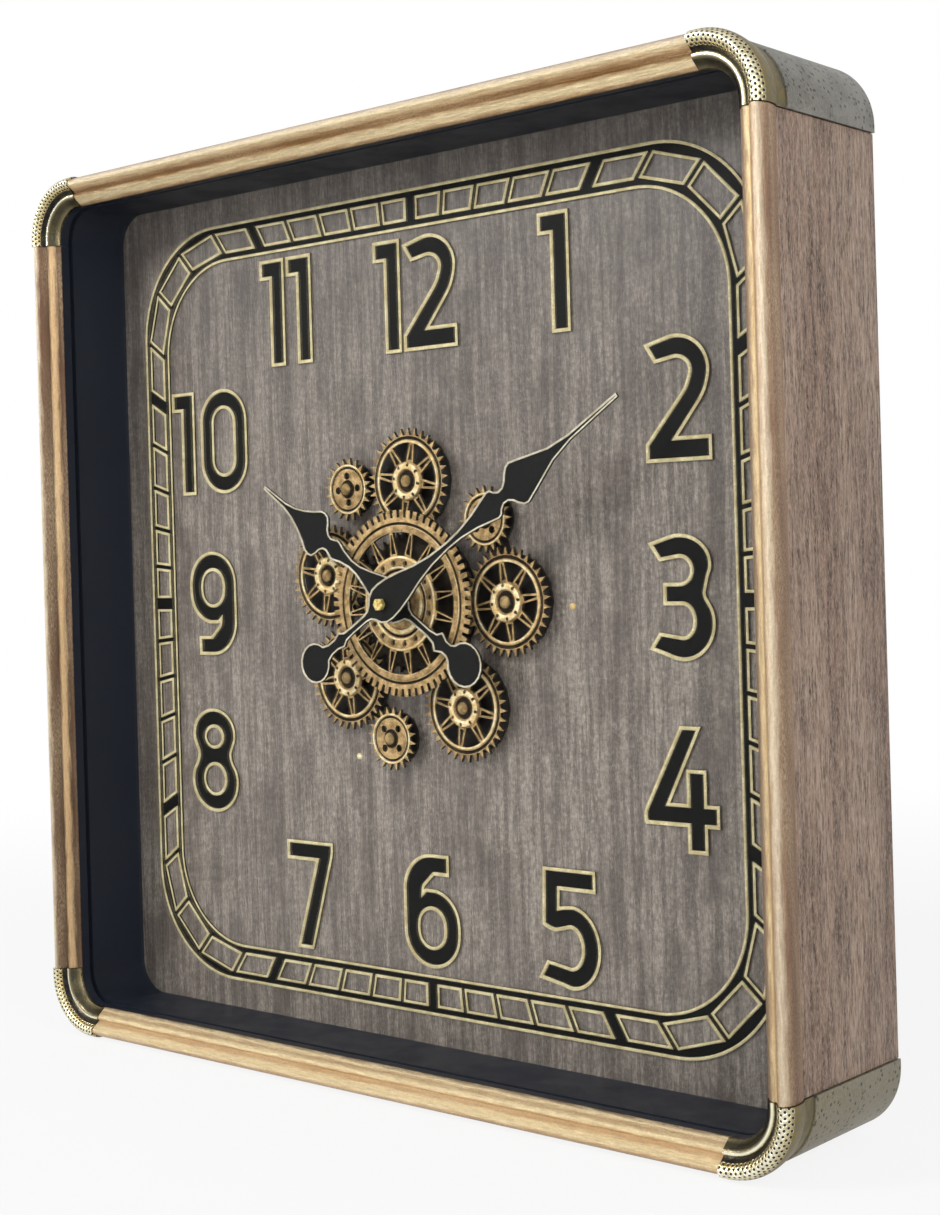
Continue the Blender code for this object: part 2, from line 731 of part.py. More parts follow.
def mesh_phase(centre_a, teeth_a, phase_a, centre_b, teeth_b):
    # Direction of a tooth of gear b when its gaps face the teeth of gear a
    direction = math.degrees(math.atan2(centre_b[1] - centre_a[1], centre_b[0] - centre_a[0]))
    pitch_a = 360.0 / teeth_a
    pitch_b = 360.0 / teeth_b
    ahead = ((phase_a - direction) / pitch_a) % 1.0
    return direction + 180.0 + (0.5 - ahead) * pitch_b


def make_centre_gear():
    root_width = 1.15 * TOOTH_ROOT_WIDTH
    loops = [gear_outline(CENTRE_GEAR_TEETH, CENTRE_GEAR_TIP_RADIUS, 0.0, root_width, 1.8 * TOOTH_TIP_WIDTH)]
    loops.append(circle(0.0, 0.0, BUSH_RADIUS + RUNNING_GAP, ROUND_STEPS))
    loops += spoke_windows(
        CENTRE_GEAR_SPOKES,
        CENTRE_GEAR_HUB_RADIUS,
        CENTRE_GEAR_RIM_RADIUS,
        TOOTH_ROOT_WIDTH,
        TOOTH_TIP_WIDTH,
        CENTRE_GEAR_SPOKE_ANGLE,
        2,
    )
    plate("gear_centre", loops, CENTRE_GEAR_DEPTH, CENTRE_GEAR_DEPTH + GEAR_THICKNESS, ANTIQUE_GOLD)


def make_rear_gear():
    outline = gear_outline(REAR_GEAR_TEETH, REAR_GEAR_TIP, 0.0, TOOTH_ROOT_WIDTH, 0.0)
    bore = BUSH_RADIUS + RUNNING_GAP
    middle = TRAIN_DEPTH + GEAR_THICKNESS / 2
    gear = plate("gear_rear", [outline, circle(0.0, 0.0, bore, ROUND_STEPS)], TRAIN_DEPTH,
                 TRAIN_DEPTH + GEAR_THICKNESS, BLACK_ENAMEL)
    front_boss = [
        (bore, CENTRE_GEAR_DEPTH + GEAR_THICKNESS + FIT_GAP),
        (2 * bore, CENTRE_GEAR_DEPTH + GEAR_THICKNESS + FIT_GAP),
        (2 * bore, middle),
        (1.5 * bore, middle),
        (1.5 * bore, COLLAR_BACK),
        (bore, COLLAR_BACK),
    ]
    boss = turned("gear_rear_boss", front_boss, BLACK_ENAMEL)
    use_tool(gear, boss, "UNION")


def satellite_centres():
    return {name: polar(SATELLITE_ORBIT, direction) for name, direction, spoke in SATELLITES}


def small_gear_centres():
    centres = {}
    for name, driver, direction, hole in SMALL_GEARS:
        x, z = satellite_centres()[driver]
        reach_x, reach_z = polar(SMALL_GEAR_REACH, direction)
        centres[name] = (x + reach_x, z + reach_z)
    return centres


def make_satellites():
    rim = SATELLITE_TIP - TOOTH_HEIGHT - SATELLITE_RIM_WIDTH
    bore = circle(0.0, 0.0, STUD_RADIUS + RUNNING_GAP, SMALL_ROUND_STEPS)
    for name, direction, spoke in SATELLITES:
        centre = satellite_centres()[name]
        phase = mesh_phase((0.0, 0.0), REAR_GEAR_TEETH, 0.0, centre, SATELLITE_TEETH)
        outline = gear_outline(SATELLITE_TEETH, SATELLITE_TIP, phase, TOOTH_ROOT_WIDTH, 0.0)
        loops = [outline, bore]
        loops += spoke_windows(
            SATELLITE_SPOKES,
            SATELLITE_HUB_RADIUS,
            rim,
            TOOTH_ROOT_WIDTH,
            1.5 * TOOTH_TIP_WIDTH,
            spoke,
            3,
        )
        plate(name, loops, TRAIN_DEPTH, TRAIN_DEPTH + GEAR_THICKNESS, ANTIQUE_GOLD, centre)


def make_small_gears():
    bore = circle(0.0, 0.0, STUD_RADIUS + RUNNING_GAP, SMALL_ROUND_STEPS)
    for name, driver, direction, hole in SMALL_GEARS:
        centre = small_gear_centres()[name]
        driver_centre = satellite_centres()[driver]
        driver_phase = mesh_phase((0.0, 0.0), REAR_GEAR_TEETH, 0.0, driver_centre, SATELLITE_TEETH)
        phase = mesh_phase(driver_centre, SATELLITE_TEETH, driver_phase, centre, SMALL_GEAR_TEETH)
        outline = gear_outline(SMALL_GEAR_TEETH, SMALL_GEAR_TIP, phase, TOOTH_ROOT_WIDTH, 0.0)
        loops = [outline, bore]
        for index in range(SMALL_GEAR_HOLES):
            x, z = polar(SMALL_GEAR_HOLE_ORBIT, hole + 360.0 * index / SMALL_GEAR_HOLES)
            loops.append(circle(x, z, SMALL_GEAR_HOLE_RADIUS, SMALL_ROUND_STEPS))
        plate(name, loops, TRAIN_DEPTH, TRAIN_DEPTH + GEAR_THICKNESS, ANTIQUE_GOLD, centre)


def post_profile():
    # Collar behind the gear, shaft through it and a riveted cap in front
    cap_back = TRAIN_DEPTH - FIT_GAP
    collar_front = TRAIN_DEPTH + GEAR_THICKNESS + FIT_GAP
    inside = PLATE_FRONT + MECHANISM_PLATE_THICKNESS / 2
    return [
        (0.0, cap_back - STUD_CAP_HEIGHT),
        (0.7 * STUD_CAP_RADIUS, cap_back - STUD_CAP_HEIGHT),
        (STUD_CAP_RADIUS, cap_back - 0.5 * STUD_CAP_HEIGHT),
        (STUD_CAP_RADIUS, cap_back),
        (STUD_RADIUS, cap_back),
        (STUD_RADIUS, collar_front),
        (STUD_COLLAR_RADIUS, collar_front),
        (STUD_COLLAR_RADIUS, inside),
        (0.0, inside),
    ]


def mechanism_lobes():
    # Centre of each gear with its tip radius and the centre that its arm comes from
    lobes = [(centre, SATELLITE_TIP, (0.0, 0.0)) for centre in satellite_centres().values()]
    for name, driver, direction, hole in SMALL_GEARS:
        lobes.append((small_gear_centres()[name], SMALL_GEAR_TIP, satellite_centres()[driver]))
    return lobes


def arm_outline(start, end):
    direction = math.degrees(math.atan2(end[1] - start[1], end[0] - start[0]))
    strip = rectangle(0.0, math.dist(start, end), -MECHANISM_ARM_WIDTH / 2, MECHANISM_ARM_WIDTH / 2)
    return turned_to(strip, direction)


def make_mechanism_plate():
    # Dark plate in front of the dial: discs joined by arms, with a post for each gear
    back = DIAL_DEPTH - FIT_GAP
    outline = circle(0.0, 0.0, REAR_GEAR_TIP, 2 * ROUND_STEPS)
    base = plate("mechanism_plate", [outline], PLATE_FRONT, back, BLACK_ENAMEL)
    for index, (centre, tip, start) in enumerate(mechanism_lobes()):
        strip = [arm_outline(start, centre)]
        arm = plate("arm_%d" % index, strip, PLATE_FRONT + ARM_STEP, back - ARM_STEP, BLACK_ENAMEL, start)
        use_tool(base, arm, "UNION")
        disc = circle(0.0, 0.0, tip - MECHANISM_LOBE_MARGIN, ROUND_STEPS)
        lobe = plate("lobe_%d" % index, [disc], PLATE_FRONT, back, BLACK_ENAMEL, centre)
        use_tool(base, lobe, "UNION")
        post = turned("post_%d" % index, post_profile(), BLACK_ENAMEL, centre, SMALL_ROUND_STEPS)
        use_tool(base, post, "UNION")
    hole = circle(0.0, 0.0, BUSH_RADIUS + FIT_GAP, ROUND_STEPS)
    cutter = plate("bush_cutter", [hole], PLATE_FRONT - FIT_GAP, DIAL_DEPTH, BLACK_ENAMEL)
    use_tool(base, cutter, "DIFFERENCE")


# Hands

# Half outlines as distance along the hand and half width, on a scale whose first number is the front length
MINUTE_HAND_EDGE = (
    (219.6, 1.3), (179, 1.9), (162, 4.4), (150, 8.6), (141, 11.8), (133.5, 14.3), (130, 13.4),
    (126.5, 10.2), (124, 6.8), (121, 4.7), (117.5, 4.4), (114.5, 6.2), (112.5, 8.8), (109.5, 9.5),
    (104, 8.1), (92, 4.9), (78, 2.7), (66, 2.3), (50, 3.3), (36, 5.8), (22, 9.6), (12, 11.8),
    (4, 12.6), (-2, 12.1), (-7, 9.4), (-10, 5.6), (-13, 3.3), (-17, 2.5), (-30, 2.4), (-38, 2.9),
    (-42, 5.3), (-44.5, 4.6), (-48, 3.7), (-54, 3.8),
)
MINUTE_TAIL_DISC = (-70.6, 13.0)
HOUR_HAND_EDGE = (
    (139.6, 1.3), (117, 2.1), (108, 3.9), (99.5, 7.2), (92, 11.2), (86, 15.2), (82, 16), (78.5, 15),
    (76, 11.5), (74.5, 8), (72, 5.4), (69, 4.8), (66, 5.8), (63.5, 7), (61, 6.8), (55, 4.6),
    (46, 2.9), (38, 3.4), (28, 6.2), (18, 9.6), (8, 12.4), (0, 13.2), (-5, 12), (-9, 8),
    (-12, 4.2), (-16, 2.7), (-33, 2.6), (-39, 3.6), (-42.5, 7.1), (-45, 6), (-48, 4.4), (-52, 4.4),
)
HOUR_TAIL_DISC = (-67.4, 14.0)
HAND_FILLET = 1.5


def hand_outline(edge, disc, length, angle):
    middle, radius = disc
    share = length / edge[0][0]
    start = math.degrees(math.asin((edge[-1][1] + HAND_FILLET) / radius))
    upper = list(edge) + arc(middle, 0.0, radius, radius, start, 180.0)
    lower = [(x, -z) for x, z in reversed(upper[:-1])]
    metres = [(x * share, z * share) for x, z in upper + lower]
    return turned_to(metres, angle)


def make_minute_hand():
    back = MINUTE_HAND_DEPTH + HAND_THICKNESS
    outline = hand_outline(MINUTE_HAND_EDGE, MINUTE_TAIL_DISC, MINUTE_HAND_LENGTH, MINUTE_HAND_ANGLE)
    hand = plate("minute_hand", [outline], MINUTE_HAND_DEPTH, back, BLACK_ENAMEL)
    shoulder = HOUR_HAND_DEPTH - HOUR_COLLAR_HEIGHT - FIT_GAP
    inside = MINUTE_HAND_DEPTH + HAND_THICKNESS / 2
    profile = [
        (0.0, inside),
        (2.2 * MINUTE_ARBOR_RADIUS, inside),
        (2.2 * MINUTE_ARBOR_RADIUS, shoulder),
        (MINUTE_ARBOR_RADIUS, shoulder),
        (MINUTE_ARBOR_RADIUS, DIAL_BACK),
        (0.0, DIAL_BACK),
    ]
    arbor = turned("minute_arbor", profile, BLACK_ENAMEL)
    use_tool(hand, arbor, "UNION")


def make_hour_hand():
    back = HOUR_HAND_DEPTH + HAND_THICKNESS
    outline = hand_outline(HOUR_HAND_EDGE, HOUR_TAIL_DISC, HOUR_HAND_LENGTH, HOUR_HAND_ANGLE)
    bore = MINUTE_ARBOR_RADIUS + RUNNING_GAP
    hole = circle(0.0, 0.0, bore, ROUND_STEPS)
    hand = plate("hour_hand", [outline, hole], HOUR_HAND_DEPTH, back, BLACK_ENAMEL)
    collar = 2.2 * MINUTE_ARBOR_RADIUS
    profile = [
        (bore, HOUR_HAND_DEPTH - HOUR_COLLAR_HEIGHT),
        (collar, HOUR_HAND_DEPTH - HOUR_COLLAR_HEIGHT),
        (collar, HOUR_HAND_DEPTH + HAND_THICKNESS / 2),
        (HOUR_PIPE_RADIUS, HOUR_HAND_DEPTH + HAND_THICKNESS / 2),
        (HOUR_PIPE_RADIUS, DIAL_BACK),
        (bore, DIAL_BACK),
    ]
    pipe = turned("hour_pipe", profile, BLACK_ENAMEL)
    use_tool(hand, pipe, "UNION")


def make_hand_nut():
    back = MINUTE_HAND_DEPTH - FIT_GAP
    front = back - HAND_NUT_HEIGHT
    corner = HAND_NUT_ACROSS / 2 / math.cos(math.radians(30))
    nut = plate("hand_nut", [circle(0.0, 0.0, corner, 6)], front, back, ANTIQUE_GOLD)
    pin_front = front - 0.3 * HAND_NUT_HEIGHT
    profile = [
        (0.0, pin_front),
        (0.8 * MINUTE_ARBOR_RADIUS, pin_front),
        (0.8 * MINUTE_ARBOR_RADIUS, back - HAND_NUT_HEIGHT / 2),
        (0.0, back - HAND_NUT_HEIGHT / 2),
    ]
    pin = turned("hand_nut_pin", profile, ANTIQUE_GOLD, steps=SMALL_ROUND_STEPS)
    use_tool(nut, pin, "UNION")


def make_bush():
    front = CENTRE_GEAR_DEPTH - BUSH_PROUD
    bore = HOUR_PIPE_RADIUS + RUNNING_GAP
    profile = [(bore, front), (BUSH_RADIUS, front), (BUSH_RADIUS, DIAL_BACK), (bore, DIAL_BACK)]
    turned("centre_bush", profile, STEEL)


# Movement and motor


def make_movement():
    bottom = MOVEMENT_TOP - MOVEMENT_HEIGHT
    outline = rectangle(-MOVEMENT_WIDTH / 2, MOVEMENT_WIDTH / 2, bottom, MOVEMENT_TOP)
    case = plate("movement_case", [outline], MOVEMENT_FRONT, MOVEMENT_BACK, BLACK_PLASTIC)
    half_length = CELL_LENGTH / 2 + 2 * FIT_GAP
    half_height = CELL_RADIUS + 2 * FIT_GAP
    bay = rectangle(-half_length, half_length, -CELL_DROP - half_height, -CELL_DROP + half_height)
    floor = MOVEMENT_BACK - 2 * CELL_RADIUS
    cutter = plate("cell_bay_cutter", [bay], floor - FIT_GAP, MOVEMENT_BACK + FIT_GAP, BLACK_PLASTIC)
    use_tool(case, cutter, "DIFFERENCE")


def make_cell():
    # A plain cylinder along X with its raised contact
    bm = bmesh.new()
    half = CELL_LENGTH / 2
    profile = [
        (0.0, -half),
        (CELL_RADIUS, -half),
        (CELL_RADIUS, half - CELL_CONTACT_HEIGHT),
        (CELL_CONTACT_RADIUS, half - CELL_CONTACT_HEIGHT),
        (CELL_CONTACT_RADIUS, half),
        (0.0, half),
    ]
    add_turned(bm, profile, (0.0, 0.0), 0.0)
    for vert in bm.verts:
        vert.co = (vert.co.y, vert.co.x, vert.co.z)
    depth = MOVEMENT_BACK - CELL_RADIUS
    finish("movement_cell", bm, CELL_SLEEVE, (0.0, at_depth(depth), -CELL_DROP))


def make_knob():
    front = MOVEMENT_BACK + FIT_GAP
    back = front + KNOB_HEIGHT
    rib_width = math.pi * KNOB_RADIUS / KNOB_RIBS
    ribbed = gear_outline(KNOB_RIBS, KNOB_RADIUS, 0.0, rib_width, rib_width / 2, KNOB_RIB_HEIGHT)
    plate("set_knob", [ribbed], front, back, BLACK_PLASTIC, (0.0, -KNOB_DROP))


def make_motor():
    bottom = MOTOR_TOP - MOTOR_HEIGHT
    outline = rectangle(-MOTOR_WIDTH / 2, MOTOR_WIDTH / 2, bottom, MOTOR_TOP)
    case = plate("motor_case", [outline], MOVEMENT_FRONT, MOTOR_BACK, BLACK_PLASTIC)
    bay_left, bay_right, bay_bottom, bay_top = bay_edges()
    bay = rectangle(bay_left, bay_right, bay_bottom, bay_top)
    cutter = plate("motor_bay_cutter", [bay], MOTOR_BACK - BAY_DEPTH, MOTOR_BACK + FIT_GAP, BLACK_PLASTIC)
    use_tool(case, cutter, "DIFFERENCE")
    left, right, low, high = switch_edges()
    slot = rectangle(left - FIT_GAP, right + SWITCH_TRAVEL + FIT_GAP, low - FIT_GAP, high + FIT_GAP)
    floor = MOTOR_BACK - SWITCH_SLOT_DEPTH
    slot_cutter = plate("switch_slot_cutter", [slot], floor, MOTOR_BACK + FIT_GAP, BLACK_PLASTIC)
    use_tool(case, slot_cutter, "DIFFERENCE")


def bay_edges():
    middle = MOTOR_TOP - MOTOR_HEIGHT / 2 - BAY_DROP
    return (-BAY_WIDTH / 2, BAY_WIDTH / 2, middle - BAY_HEIGHT / 2, middle + BAY_HEIGHT / 2)


def switch_edges():
    middle = MOTOR_TOP - SWITCH_DROP
    return (-SWITCH_LENGTH / 2, SWITCH_LENGTH / 2, middle - SWITCH_HEIGHT / 2, middle + SWITCH_HEIGHT / 2)


def make_motor_lid():
    left, right, bottom, top = bay_edges()
    front = MOTOR_BACK + FIT_GAP
    outline = rectangle(left - LID_MARGIN, right + LID_MARGIN, bottom - LID_MARGIN, top + LID_MARGIN)
    plate("motor_lid", [outline], front, front + LID_THICKNESS, BLACK_PLASTIC)


def make_switch():
    left, right, low, high = switch_edges()
    outline = rectangle(left, right, low, high)
    front = MOTOR_BACK - SWITCH_SLOT_DEPTH + FIT_GAP
    plate("switch_slider", [outline], front, MOTOR_BACK + SWITCH_PROUD, STEEL)


# Back of the case


def make_batten_frame():
    # Strips inside the boards, joined into a frame between the dial and the back panel
    outer = case_outline(INNER_EDGE)
    inner_x = HALF_WIDTH - INNER_EDGE - BATTEN_WIDTH
    inner_z = HALF_HEIGHT - INNER_EDGE - BATTEN_WIDTH
    inner = rectangle(-inner_x, inner_x, -inner_z, inner_z)
    plate("batten_frame", [outer, inner], DIAL_BACK + FIT_GAP, PANEL_FRONT - FIT_GAP, RAW_BOARD)


def keyhole_places():
    height = HALF_HEIGHT - KEYHOLE_FROM_TOP
    side = HALF_WIDTH - KEYHOLE_FROM_SIDE
    return {"left": (-side, height), "right": (side, height)}


def keyhole_outline():
    # A round entry with a narrow slot above it for the neck of the wall screw
    meet = math.degrees(math.asin(KEYHOLE_SLOT_RADIUS / KEYHOLE_RADIUS))
    lower = arc(0.0, 0.0, KEYHOLE_RADIUS, KEYHOLE_RADIUS, 90.0 + meet, 450.0 - meet)
    slot_end = KEYHOLE_RADIUS + KEYHOLE_SLOT_LENGTH - KEYHOLE_SLOT_RADIUS
    upper = arc(0.0, slot_end, KEYHOLE_SLOT_RADIUS, KEYHOLE_SLOT_RADIUS, 0.0, 180.0)
    return lower + upper


def keyhole_plate_outline(extra):
    # The round entry lies in the lower part of the plate
    low = -KEYHOLE_PLATE_BELOW - extra
    half = KEYHOLE_PLATE_WIDTH / 2 + extra
    return rectangle(-half, half, low, low + KEYHOLE_PLATE_HEIGHT + 2 * extra)


def make_keyhole_plates():
    back = CASE_DEPTH - KEYHOLE_PLATE_RECESS
    for side, place in keyhole_places().items():
        loops = [keyhole_plate_outline(0.0), keyhole_outline()]
        plate("keyhole_" + side, loops, back - KEYHOLE_PLATE_THICKNESS, back, STEEL, place)


def make_back_panel():
    window = rectangle(-WINDOW_WIDTH / 2, WINDOW_WIDTH / 2, WINDOW_BOTTOM, WINDOW_TOP)
    panel = plate("back_panel", [case_outline(INNER_EDGE), window], PANEL_FRONT, CASE_DEPTH, RAW_BOARD)
    rebate_floor = CASE_DEPTH - KEYHOLE_PLATE_RECESS - KEYHOLE_PLATE_THICKNESS - FIT_GAP
    for side, place in keyhole_places().items():
        rebate = plate("rebate_cutter_" + side, [keyhole_plate_outline(FIT_GAP)], rebate_floor,
                       CASE_DEPTH + FIT_GAP, RAW_BOARD, place)
        use_tool(panel, rebate, "DIFFERENCE")
        pocket_outline = keyhole_plate_outline(-KEYHOLE_LANDING)
        pocket = plate("pocket_cutter_" + side, [pocket_outline], PANEL_FRONT - FIT_GAP,
                       CASE_DEPTH - FIT_GAP, RAW_BOARD, place)
        use_tool(panel, pocket, "DIFFERENCE")


make_case()
make_glass_and_liner()
make_dial()
make_track()
make_numerals()
make_centre_gear()
make_rear_gear()
make_satellites()
make_small_gears()
make_mechanism_plate()
make_minute_hand()
make_hour_hand()
make_hand_nut()
make_bush()
make_movement()
make_cell()
make_knob()
make_motor()
make_motor_lid()
make_switch()
make_batten_frame()
make_back_panel()
make_keyhole_plates()
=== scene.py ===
import json
import math
import bpy
import bmesh
from mathutils import Matrix, Vector


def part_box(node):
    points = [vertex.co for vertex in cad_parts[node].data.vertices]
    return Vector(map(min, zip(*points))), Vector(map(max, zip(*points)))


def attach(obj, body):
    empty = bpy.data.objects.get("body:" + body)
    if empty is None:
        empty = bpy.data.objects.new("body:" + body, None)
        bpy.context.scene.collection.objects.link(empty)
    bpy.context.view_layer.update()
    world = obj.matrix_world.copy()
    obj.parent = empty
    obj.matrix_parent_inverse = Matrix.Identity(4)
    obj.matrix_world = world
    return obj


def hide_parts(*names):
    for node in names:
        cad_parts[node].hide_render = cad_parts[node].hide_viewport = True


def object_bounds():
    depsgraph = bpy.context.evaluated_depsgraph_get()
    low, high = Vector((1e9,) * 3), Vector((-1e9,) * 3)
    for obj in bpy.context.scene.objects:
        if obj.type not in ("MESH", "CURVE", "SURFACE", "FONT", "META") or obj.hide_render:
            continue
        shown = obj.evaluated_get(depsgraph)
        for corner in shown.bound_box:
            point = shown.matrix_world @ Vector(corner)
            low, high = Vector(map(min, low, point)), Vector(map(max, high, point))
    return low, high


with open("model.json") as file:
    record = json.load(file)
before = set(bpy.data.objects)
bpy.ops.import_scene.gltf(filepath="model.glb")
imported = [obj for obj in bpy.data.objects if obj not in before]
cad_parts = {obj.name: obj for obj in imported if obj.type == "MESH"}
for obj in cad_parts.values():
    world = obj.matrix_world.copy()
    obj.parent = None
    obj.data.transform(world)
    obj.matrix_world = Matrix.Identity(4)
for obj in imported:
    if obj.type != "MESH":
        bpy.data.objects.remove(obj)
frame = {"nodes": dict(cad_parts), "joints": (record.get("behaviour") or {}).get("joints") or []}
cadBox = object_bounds()
nodes = frame["nodes"]
print("frame loaded")
mergeDistance = 0.00001


def deselectAll():
    if bpy.context.object and bpy.context.object.mode != "OBJECT":
        bpy.ops.object.mode_set(mode="OBJECT")
    bpy.ops.object.select_all(action="DESELECT")


def pick(*pieces):
    deselectAll()
    for piece in pieces:
        piece.select_set(True)
    bpy.context.view_layer.objects.active = pieces[0]


def named(name):
    piece = bpy.context.object
    piece.name = name
    piece.data.name = name
    return piece


def freeze(piece):
    pick(piece)
    bpy.ops.object.transform_apply(location=True, rotation=True, scale=True)
    return piece


def applyAll(piece):
    pick(piece)
    for modifier in list(piece.modifiers):
        bpy.ops.object.modifier_apply(modifier=modifier.name)
    return piece


def editAll(piece):
    pick(piece)
    bpy.ops.object.mode_set(mode="EDIT")
    bpy.ops.mesh.select_all(action="SELECT")


def leaveEdit():
    bpy.ops.object.mode_set(mode="OBJECT")


def closeOutward():
    # turns every face outwards and leaves edit mode
    bpy.ops.mesh.select_all(action="SELECT")
    bpy.ops.mesh.normals_make_consistent(inside=False)
    leaveEdit()


def copyOfNode(nodeName, pieceName):
    # a merged copy of a node, its flat faces made whole again
    piece = bpy.data.objects.new(pieceName, nodes[nodeName].data.copy())
    bpy.context.collection.objects.link(piece)
    piece.data.name = pieceName
    piece.data.materials.clear()
    editAll(piece)
    bpy.ops.mesh.remove_doubles(threshold=mergeDistance)
    bpy.ops.mesh.dissolve_limited(angle_limit=math.radians(0.5))
    leaveEdit()
    return piece


def outlineLoops(nodeName):
    # the closed outlines of a node's front face, as (x, z) points
    bm = bmesh.new()
    bm.from_mesh(nodes[nodeName].data)
    bmesh.ops.remove_doubles(bm, verts=bm.verts, dist=mergeDistance)
    bm.normal_update()
    frontY = min(vertex.co.y for vertex in bm.verts)
    links = {}
    for edge in bm.edges:
        onFront = all(abs(vertex.co.y - frontY) < 0.00003 for vertex in edge.verts)
        if onFront and sum(face.normal.y < -0.9 for face in edge.link_faces) == 1:
            first, second = edge.verts
            links.setdefault(first, []).append(second)
            links.setdefault(second, []).append(first)
    loops = []
    while links:
        start = next(iter(links))
        loop, before, here = [], None, start
        while here in links:
            loop.append(Vector((here.co.x, here.co.z)))
            ends = links.pop(here)
            following = ends[0] if ends[0] is not before else ends[1]
            before, here = here, following
        loops.append(loop)
    bm.free()
    return loops


def refineLoop(points, cuts):
    # rounds the arcs of a closed outline, and leaves its straight lines and corners
    sharp, flat = math.radians(38), math.radians(2)
    count = len(points)
    steps = [points[(k + 1) % count] - points[k] for k in range(count)]
    result = []
    for k in range(count):
        before, own, after = steps[k - 1], steps[k], steps[(k + 1) % count]
        result.append(points[k])
        turnIn, turnOut = before.angle(own), own.angle(after)
        smooth = [step for step, turn in ((before, turnIn), (after, turnOut)) if turn < sharp]
        if not smooth or max(turn for turn in (turnIn, turnOut) if turn < sharp) < flat:
            continue
        if own.length > 1.7 * min(step.length for step in smooth):  # a straight line between two arcs
            continue
        along = own.normalized()
        startWay = before.normalized() if before.length > 2 * own.length else before.normalized() + along
        endWay = after.normalized() if after.length > 2 * own.length else after.normalized() + along
        startWay, endWay = startWay.normalized(), endWay.normalized()
        if turnIn >= sharp:
            startWay = 2 * along * along.dot(endWay) - endWay
        if turnOut >= sharp:
            endWay = 2 * along * along.dot(startWay) - startWay
        end = points[(k + 1) % count]
        for step in range(1, cuts + 1):
            t = step / (cuts + 1)
            chord = (2 * t ** 3 - 3 * t ** 2 + 1) * points[k] + (3 * t ** 2 - 2 * t ** 3) * end
            bulge = (t ** 3 - 2 * t ** 2 + t) * startWay + (t ** 3 - t ** 2) * endWay
            result.append(chord + own.length * bulge)
    return result


def plateFromOutline(nodeName, pieceName, cuts):
    # a node that is one flat plate, drawn again with round arcs
    low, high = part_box(nodeName)
    bm = bmesh.new()
    for loop in outlineLoops(nodeName):
        ring = [bm.verts.new((point.x, low.y, point.y)) for point in refineLoop(loop, cuts)]
        for first, second in zip(ring, ring[1:] + ring[:1]):
            bm.edges.new((first, second))
    bmesh.ops.triangle_fill(bm, use_beauty=True, edges=bm.edges, normal=(0, -1, 0))
    mesh = bpy.data.meshes.new(pieceName)
    bm.to_mesh(mesh)
    bm.free()
    piece = bpy.data.objects.new(pieceName, mesh)
    bpy.context.collection.objects.link(piece)
    editAll(piece)
    bpy.ops.mesh.extrude_region_move(TRANSFORM_OT_translate={"value": (0, high.y - low.y, 0)})
    closeOutward()
    return piece


def selectFaces(piece, test):
    # leaves edit mode's selection as the faces that pass the test
    pick(piece)
    bpy.ops.object.mode_set(mode="EDIT")
    bpy.ops.mesh.select_mode(type="FACE")
    bpy.ops.mesh.select_all(action="DESELECT")
    bm = bmesh.from_edit_mesh(piece.data)
    for face in bm.faces:
        face.select = test(face)
    bm.select_flush_mode()
    bmesh.update_edit_mesh(piece.data)


def paintFaces(piece, index, test):
    for face in piece.data.polygons:
        if test(face):
            face.material_index = index


def joinPieces(pieces):
    pick(*pieces)
    bpy.ops.object.join()
    return bpy.context.object


def cutWith(piece, cutters):
    # takes the cutters out of the piece and removes them
    for cutter in cutters:
        modifier = piece.modifiers.new("cut", "BOOLEAN")
        modifier.object = cutter
        modifier.operation = "DIFFERENCE"
        modifier.solver = "EXACT"
    applyAll(piece)
    for cutter in cutters:
        bpy.data.objects.remove(cutter)
    return piece


def softenEdges(piece, width, segments=2, angle=35):
    modifier = piece.modifiers.new("soft edges", "BEVEL")
    modifier.width = width
    modifier.segments = segments
    modifier.limit_method = "ANGLE"
    modifier.angle_limit = math.radians(angle)
    applyAll(piece)
    return piece


def smoothBy(piece, angle=35):
    pick(piece)
    bpy.ops.object.shade_smooth_by_angle(angle=math.radians(angle))
    return piece


def setMaterials(piece, *materials):
    piece.data.materials.clear()
    for material in materials:
        piece.data.materials.append(material)


def place(piece, body, slotName, *replaced):
    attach(piece, body)
    if replaced:
        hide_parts(*replaced)
    return piece


def tone(red, green, blue):
    # a colour as it is read off a screen, 0 to 255
    def channel(value):
        value /= 255
        return value / 12.92 if value <= 0.04045 else ((value + 0.055) / 1.055) ** 2.4
    return (channel(red), channel(green), channel(blue), 1.0)


def addNode(tree, kind, **values):
    node = tree.nodes.new(kind)
    for key, value in values.items():
        if key in node.inputs:
            node.inputs[key].default_value = value
        else:
            setattr(node, key, value)
    return node


def newGroup(name, inputs, outputs):
    group = bpy.data.node_groups.new(name, "ShaderNodeTree")
    for socketName, kind, value in inputs:
        socket = group.interface.new_socket(socketName, in_out="INPUT", socket_type=kind)
        if value is not None:
            socket.default_value = value
    for socketName, kind in outputs:
        group.interface.new_socket(socketName, in_out="OUTPUT", socket_type=kind)
    return group, group.nodes.new("NodeGroupInput"), group.nodes.new("NodeGroupOutput")


def mathNode(tree, operation, first, second=None):
    node = tree.nodes.new("ShaderNodeMath")
    node.operation = operation
    for index, value in enumerate((first, second)):
        if value is None:
            continue
        if isinstance(value, (int, float)):
            node.inputs[index].default_value = value
        else:
            tree.links.new(value, node.inputs[index])
    return node.outputs[0]


def remap(tree, value, low, high, newLow=0.0, newHigh=1.0):
    node = tree.nodes.new("ShaderNodeMapRange")
    node.interpolation_type = "SMOOTHSTEP"
    tree.links.new(value, node.inputs["Value"])
    for key, number in (("From Min", low), ("From Max", high), ("To Min", newLow), ("To Max", newHigh)):
        node.inputs[key].default_value = number
    return node.outputs[0]


